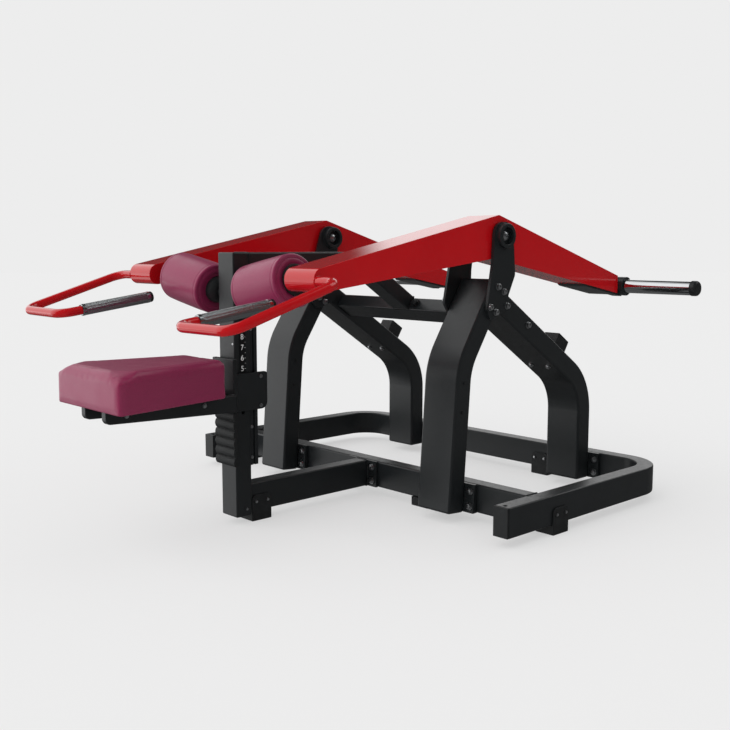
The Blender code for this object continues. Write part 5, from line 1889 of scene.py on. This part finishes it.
@dataclass
class SeatCarriage:
    """Sleeve on the column with the two arms under the seat, and the spring pin."""

    front: float = -0.478
    plate: float = 0.015
    bottom: float = 0.355
    lip: float = 0.515
    shoulder: float = 0.470
    rear: float = -0.350
    inner_x: float = 0.042
    side_thickness: float = 0.010
    arm_x: float = 0.058
    arm_width: float = 0.024

    def build(self) -> None:
        """Build the sleeve, arms, screws, beads and pin."""
        self.build_sleeve()
        self.build_arms()
        self.build_pin()

    def build_sleeve(self) -> None:
        """Front plate and two side plates, with the tie pins behind the guide."""
        front = box_solid(
            (0.110, self.plate - GAP, self.lip - self.bottom),
            (0, self.front + (self.plate - GAP) / 2, (self.lip + self.bottom) / 2))
        front = soften_edges(front, 0.0025, 3)
        outline = rounded_outline(
            [(self.front + 0.002, self.bottom + 0.0005, 0), (self.rear, self.bottom + 0.0005, 0.022),
             (self.rear, self.shoulder, 0.008), (self.front + self.plate, self.shoulder, 0.0),
             (self.front + 0.002, self.lip - 0.004, 0)])
        solids = [front]
        for side, _ in SIDES:
            x = side * (self.inner_x + self.side_thickness / 2)
            solids.append(soften_edges(flat_solid(outline, self.side_thickness, "YZ", x), 0.0015, 2, 50))
        for z in (0.367, 0.457):
            profile = [(0, self.inner_x + 0.005), (0.007, self.inner_x + 0.005),
                       (0.007, -self.inner_x - 0.005), (0, -self.inner_x - 0.005)]
            solids.append(turned_solid(profile, (0, -0.3615, z), (1, 0, 0), steps=32))
        finish_piece(
            join_solids(solids), "carriage_plates", "seat_carriage", BLACK_PAINT, ("carriage_sleeve",))
        screws = ScrewSet("carriage_screws", "seat_carriage", Screw.SOCKET, 0.0052, 0.0030, 0.0060)
        for z in (0.367, 0.457):
            for side, _ in SIDES:
                screws.add((side * (self.inner_x + self.side_thickness), -0.3755, z), (side, 0, 0))
        screws.build()

    def build_arms(self) -> None:
        """Two tapered arms from the sleeve to the front of the seat."""
        top = 0.410 - GAP
        rear = self.front - GAP
        outline = rounded_outline(
            [(-0.905, top, 0), (-0.905, 0.372, 0.016), (rear, 0.358, 0), (rear, top, 0)])
        beads = []
        for side, word in SIDES:
            arm = flat_solid(outline, self.arm_width, "YZ", side * self.arm_x)
            finish_piece(soften_edges(arm, 0.003, 3), f"seat_support_{word}", "seat_carriage", BLACK_PAINT,
                         (f"seat_arm_{word}",))
            middle = (side * self.arm_x, rear, (top + 0.358) / 2)
            beads.append(
                (rectangle_path(middle, self.arm_width / 2 - 0.0005, (top - 0.358) / 2 - 0.0005, "XZ"),
                 True))
        weld_beads("seat_support_beads", "seat_carriage", beads, BLACK_PAINT, 0.0024)
        screws = ScrewSet("seat_base_screws", "seat_carriage", Screw.HEX, 0.0055, 0.0045, 0.0070)
        for side, _ in SIDES:
            for y in (-0.843, -0.592):
                screws.add((side * (self.arm_x + self.arm_width / 2), y, 0.391), (side, 0, 0))
        screws.build()

    def build_pin(self) -> None:
        """Spring pin's housing and its moulded pull knob."""
        face = -(self.inner_x + self.side_thickness)
        z = 0.413
        place = (face - GAP, COLUMN_Y, z)
        ring = [(0.0058, 0.022), (0.0100, 0.022), *arc((0.0115, 0.0205), 0.0015, 80, 0, 3), (0.013, 0.008),
                (0.0145, 0.007), (0.0145, 0), (0.0058, 0)]
        housing = turned_solid(ring, place, (-1, 0, 0), closed=True, steps=48)
        finish_piece(housing, "pin_housing", "seat_carriage", ZINC, ("lock_housing",))
        base, top, nose = 0.023, 0.049, 0.040 - 0.0523 + 0.0008
        knob = [(0, top), (0.006, top - 0.0002), *arc((0.017 - 0.007, top - 0.007), 0.007, 85, 0, 7),
                (0.0162, base + 0.008), (0.0168, base + 0.005), (0.015, base + 0.001), (0.013, base),
                (0.0055, base), (0.0055, nose + 0.001), (0.0045, nose), (0, nose)]
        pin = turned_solid(knob, place, (-1, 0, 0), steps=48)
        finish_piece(pin, "pull_knob", "seat_lock", BLACK_PLASTIC, ("lock_pin",))


@dataclass
class ThighRoller:
    """One padded roller on its stub axle, tilted up outwards."""

    side: int
    word: str
    middle: Corner = (0.1935, COLUMN_Y, 0.737)
    tilt: float = radians(10.2)
    length: float = 0.208
    radius: float = 0.0772
    bore: float = 0.0152
    hub_radius: float = 0.041
    cap_radius: float = 0.046
    neck_radius: float = 0.018

    @property
    def axis(self) -> Vector:
        """Direction of the axle, outwards."""
        return Vector((self.side * cos(self.tilt), 0, sin(self.tilt)))

    @property
    def centre(self) -> Vector:
        """Middle of the roller."""
        return Vector((self.side * self.middle[0], self.middle[1], self.middle[2]))

    def build(self) -> None:
        """Build the padded roller, then its axle and hub discs."""
        half = self.length / 2
        radius = self.radius
        end = [(self.bore, half - 0.003), (0.0475, half - 0.003), (0.0500, half - 0.0006)]
        end += [(0.0560, half + 0.0008), (0.0630, half), (0.0640, half - 0.0012), (0.0650, half)]
        end += arc((radius - 0.0062, half - 0.0060), 0.0060, 84, 4, 8)
        end += [(radius, half - 0.0120), (radius - 0.0011, half - 0.0134), (radius, half - 0.0148)]
        body = []
        for k in range(17):
            share = 1 - 2 * k / 16
            body.append((radius + 0.0008 * (1 - share ** 4), share * (half - 0.019)))
        lower = [(reach, -height) for reach, height in reversed(end)]
        pad = turned_solid(end + body + lower, self.centre, self.axis, closed=True, steps=112)
        pad = finish_piece(
            pad, f"roller_cover_{self.word}", f"roller_{self.word}", MAROON_VINYL,
            (f"roller_pad_{self.word}",), angle=50)
        self.build_axle(half)

    def build_axle(self, half: float) -> None:
        """Axle with a domed hub towards the column and a flat disc outside.

        Args:
            half: half the roller's length.
        """
        inner, outer = -half - 0.001, half + 0.001
        hub = self.hub_radius
        profile = [(0, outer + 0.007), (self.cap_radius - 0.005, outer + 0.007),
                   *arc((self.cap_radius - 0.003, outer + 0.004), 0.003, 80, 0, 4), (self.cap_radius, outer),
                   (0.015, outer), (0.015, inner), (hub - 0.001, inner), (hub, inner - 0.001)]
        neck, dome = self.neck_radius, 0.029
        profile += [(neck + (hub - neck) * cos(angle), inner - 0.003 - dome * sin(angle))
                    for angle in (pi / 2 * k / 12 for k in range(13))]
        profile += [(self.neck_radius, inner - 0.058), (0, inner - 0.058)]
        axle = turned_solid(profile, self.centre, self.axis, steps=64)
        trim = box_solid((0.080 + 2 * GAP, 0.2, 0.2), (0, self.middle[1], self.middle[2]))
        axle = cut(axle, trim)
        finish_piece(axle, f"roller_hub_{self.word}", "frame", BLACK_PLASTIC, (f"roller_axle_{self.word}",))


@dataclass(frozen=True)
class Softbox:
    """A lit patch of the studio's wall, by its heading from -X towards -Y and its height, in degrees."""

    start: float
    end: float
    low: float
    high: float
    strength: float
    start_blur: float = 4.0
    end_blur: float = 4.0


@dataclass
class Studio:
    """Pale floor, soft light and the camera at the photograph's place."""

    focal: float = 47.46
    place: Corner = (2.4, -2.1612, 0.844)
    pitch: float = radians(90 - 6.918)
    heading: float = radians(46.988)
    backdrop: str = "EDEDED"
    floor_glow: float = 0.58
    ambient: float = 0.70
    sun_energy: float = 2.0
    sun_angle: float = radians(85)
    sun_toward: Corner = (-0.25, -0.80, 0.55)
    dark: float = 0.045
    ground: float = 0.11
    wall_radius: float = 25.0
    softboxes: tuple[Softbox, ...] = (
        Softbox(-82, -41, 5, 34, 1.10, 8.0, 1.5), Softbox(-20, 72, -8, 62, 1.20, 6.0, 10.0),
        Softbox(-140, -92, 26, 62, 1.30, 8.0, 6.0), Softbox(16, 46, -26, -12, 0.90, 5.0, 5.0),
        Softbox(12, 31, -12, 0, 0.75, 4.0, 4.0))

    def build(self) -> None:
        """Set up everything that isn't the machine."""
        self.build_camera()
        self.build_floor()
        self.build_world()
        self.build_wall()
        self.build_sun()
        bpy.context.scene.view_settings.view_transform = "Standard"

    def build_camera(self) -> None:
        """Camera at the photograph's place and lens."""
        lens = bpy.data.cameras.new("camera")
        lens.lens = self.focal
        lens.sensor_width = 36
        camera = link(lens, "camera")
        camera.location = self.place
        camera.rotation_euler = (self.pitch, 0, self.heading)
        bpy.context.scene.camera = camera

    def build_floor(self) -> None:
        """Wide pale matt floor, seen partly at the backdrop's own tone so that shadows stay light."""
        floor = box_solid((60, 60, 0.02), (0, 0, -0.0101))
        floor.name = "floor"
        material = bpy.data.materials.new("pale_floor")
        material.use_nodes = True
        tree = material.node_tree
        tree.nodes.clear()
        cloud = add_node(tree, "ShaderNodeTexNoise", {"Scale": 0.6})
        tone = add_node(
            tree, "ShaderNodeMix", {"data_type": "RGBA", 6: linear_rgb("EAEAEA"), 7: linear_rgb("E8E8E8")},
            {0: cloud.outputs["Fac"]})
        lit = add_node(tree, "ShaderNodeBsdfDiffuse", links={"Color": tone.outputs[2]})
        pale = add_node(tree, "ShaderNodeEmission", {"Color": linear_rgb(self.backdrop), "Strength": 1.0})
        path = add_node(tree, "ShaderNodeLightPath")
        share = add_node(tree, "ShaderNodeMath", {"operation": "MULTIPLY", 1: self.floor_glow},
                         {0: path.outputs["Is Camera Ray"]})
        shader = add_node(
            tree, "ShaderNodeMixShader", links={0: share.outputs[0], 1: lit.outputs[0], 2: pale.outputs[0]})
        output = tree.nodes.new("ShaderNodeOutputMaterial")
        tree.links.new(shader.outputs[0], output.inputs["Surface"])
        material.cycles.emission_sampling = "NONE"
        floor.data.materials.append(material)
        floor.visible_glossy = False

    def build_world(self) -> None:
        """Pale backdrop for what is seen directly or in gloss and glass, plain white fill otherwise."""
        world = bpy.data.worlds.new("studio")
        bpy.context.scene.world = world
        world.use_nodes = True
        tree = world.node_tree
        tree.nodes.clear()
        path = add_node(tree, "ShaderNodeLightPath")
        fill = add_node(
            tree, "ShaderNodeBackground", {"Color": linear_rgb("FFFFFF"), "Strength": self.ambient})
        seen = add_node(tree, "ShaderNodeBackground", {"Color": linear_rgb(self.backdrop), "Strength": 1.0})
        sharp = add_node(tree, "ShaderNodeMath", {"operation": "MAXIMUM"},
                         {0: path.outputs["Is Camera Ray"], 1: path.outputs["Is Glossy Ray"]})
        both = add_node(tree, "ShaderNodeMath", {"operation": "MAXIMUM"},
                        {0: sharp.outputs[0], 1: path.outputs["Is Transmission Ray"]})
        mix = add_node(
            tree, "ShaderNodeMixShader", links={0: both.outputs[0], 1: fill.outputs[0], 2: seen.outputs[0]})
        output = tree.nodes.new("ShaderNodeOutputWorld")
        tree.links.new(mix.outputs[0], output.inputs["Surface"])

    def build_wall(self) -> None:
        """Round studio wall, seen in gloss only: dark cloth with the softboxes."""
        wall = turned_solid(arc((0, 0), self.wall_radius, 90, -90, 48), (0, 0, 0), (0, 0, 1), steps=96)
        wall.name = "studio_wall"
        material = bpy.data.materials.new("studio_cloth_and_softboxes")
        material.use_nodes = True
        tree = material.node_tree
        tree.nodes.clear()
        place = add_node(tree, "ShaderNodeTexCoord").outputs["Object"]
        axes = add_node(tree, "ShaderNodeSeparateXYZ", links={0: place}).outputs
        flip = [add_node(tree, "ShaderNodeMath", {"operation": "MULTIPLY", 1: -1.0}, {0: axes[k]}).outputs[0]
                for k in (0, 1)]
        turn = add_node(tree, "ShaderNodeMath", {"operation": "ARCTAN2"}, {0: flip[1], 1: flip[0]})
        around = add_node(tree, "ShaderNodeMath", {"operation": "DEGREES"}, {0: turn.outputs[0]}).outputs[0]
        rise = add_node(tree, "ShaderNodeMath", {"operation": "DIVIDE", 1: self.wall_radius}, {0: axes[2]})
        height = add_node(tree, "ShaderNodeMath", {"operation": "ARCSINE"}, {0: rise.outputs[0]})
        up = add_node(tree, "ShaderNodeMath", {"operation": "DEGREES"}, {0: height.outputs[0]}).outputs[0]
        glow = add_node(
            tree, "ShaderNodeMapRange",
            {"interpolation_type": "SMOOTHSTEP", "From Min": -3.0, "From Max": 3.0, "To Min": self.ground,
             "To Max": self.dark}, {"Value": up}).outputs[0]
        for box in self.softboxes:
            patch = None
            for value, start, end in (
                (around, box.start - box.start_blur, box.start + box.start_blur),
                (around, box.end + box.end_blur, box.end - box.end_blur),
                (up, box.low - 3.0, box.low + 3.0), (up, box.high + 6.0, box.high - 6.0)):
                edge = add_node(
                    tree, "ShaderNodeMapRange",
                    {"interpolation_type": "SMOOTHSTEP", "From Min": start, "From Max": end, "To Min": 0.0,
                     "To Max": 1.0}, {"Value": value}).outputs[0]
                patch = edge if patch is None else add_node(
                    tree, "ShaderNodeMath", {"operation": "MULTIPLY"}, {0: patch, 1: edge}).outputs[0]
            glow = add_node(tree, "ShaderNodeMath", {"operation": "MULTIPLY_ADD", 1: box.strength},
                            {0: patch, 2: glow}).outputs[0]
        shader = add_node(tree, "ShaderNodeEmission", {"Color": linear_rgb("FFFFFF")}, {"Strength": glow})
        output = tree.nodes.new("ShaderNodeOutputMaterial")
        tree.links.new(shader.outputs[0], output.inputs["Surface"])
        material.cycles.emission_sampling = "NONE"
        wall.data.materials.append(material)
        for ray in ("camera", "diffuse", "transmission", "volume_scatter", "shadow"):
            setattr(wall, f"visible_{ray}", False)

    def build_sun(self) -> None:
        """Wide soft light from the front and the left, high up."""
        light = bpy.data.lights.new("wide_soft_light", "SUN")
        light.energy = self.sun_energy
        light.angle = self.sun_angle
        lamp = link(light, "wide_soft_light")
        lamp.rotation_euler = Vector(self.sun_toward).to_track_quat("Z", "Y").to_euler()
        lamp.visible_glossy = False


def main() -> None:
    """Build the studio and each sub-assembly in order."""
    logging.basicConfig(level=logging.INFO, format="%(name)s: %(message)s")
    Studio().build()
    BaseFrame().build()
    foot_screws = ScrewSet("foot_screws", "frame", Screw.PAN, 0.0042, 0.0028, 0.0048)
    feet = [WrapFoot("spine_foot", 0, -0.3625, True)]
    for side, word in SIDES:
        feet.append(WrapFoot(f"rail_foot_{word}", side * RAIL_X, 0.1975, True))
        feet.append(WrapFoot(f"rear_foot_{word}", side * 0.2525, RAIL_REAR_Y, False))
        feet.append(WrapFoot(f"crossbar_foot_{word}", side * 0.2665, CROSSBAR_Y, False, (False, True)))
    for foot in feet:
        foot.build(foot_screws)
    foot_screws.build()
    Column().build()
    legs = [LegFrame(side, word) for side, word in SIDES]
    for leg in legs:
        leg.build()
    TopBeam().build(legs[0])
    for side, word in SIDES:
        LeverArm(side, word).build()
    Cushion().build()
    SeatCarriage().build()
    for side, word in SIDES:
        ThighRoller(side, word).build()


if __name__ == "__main__":
    main()
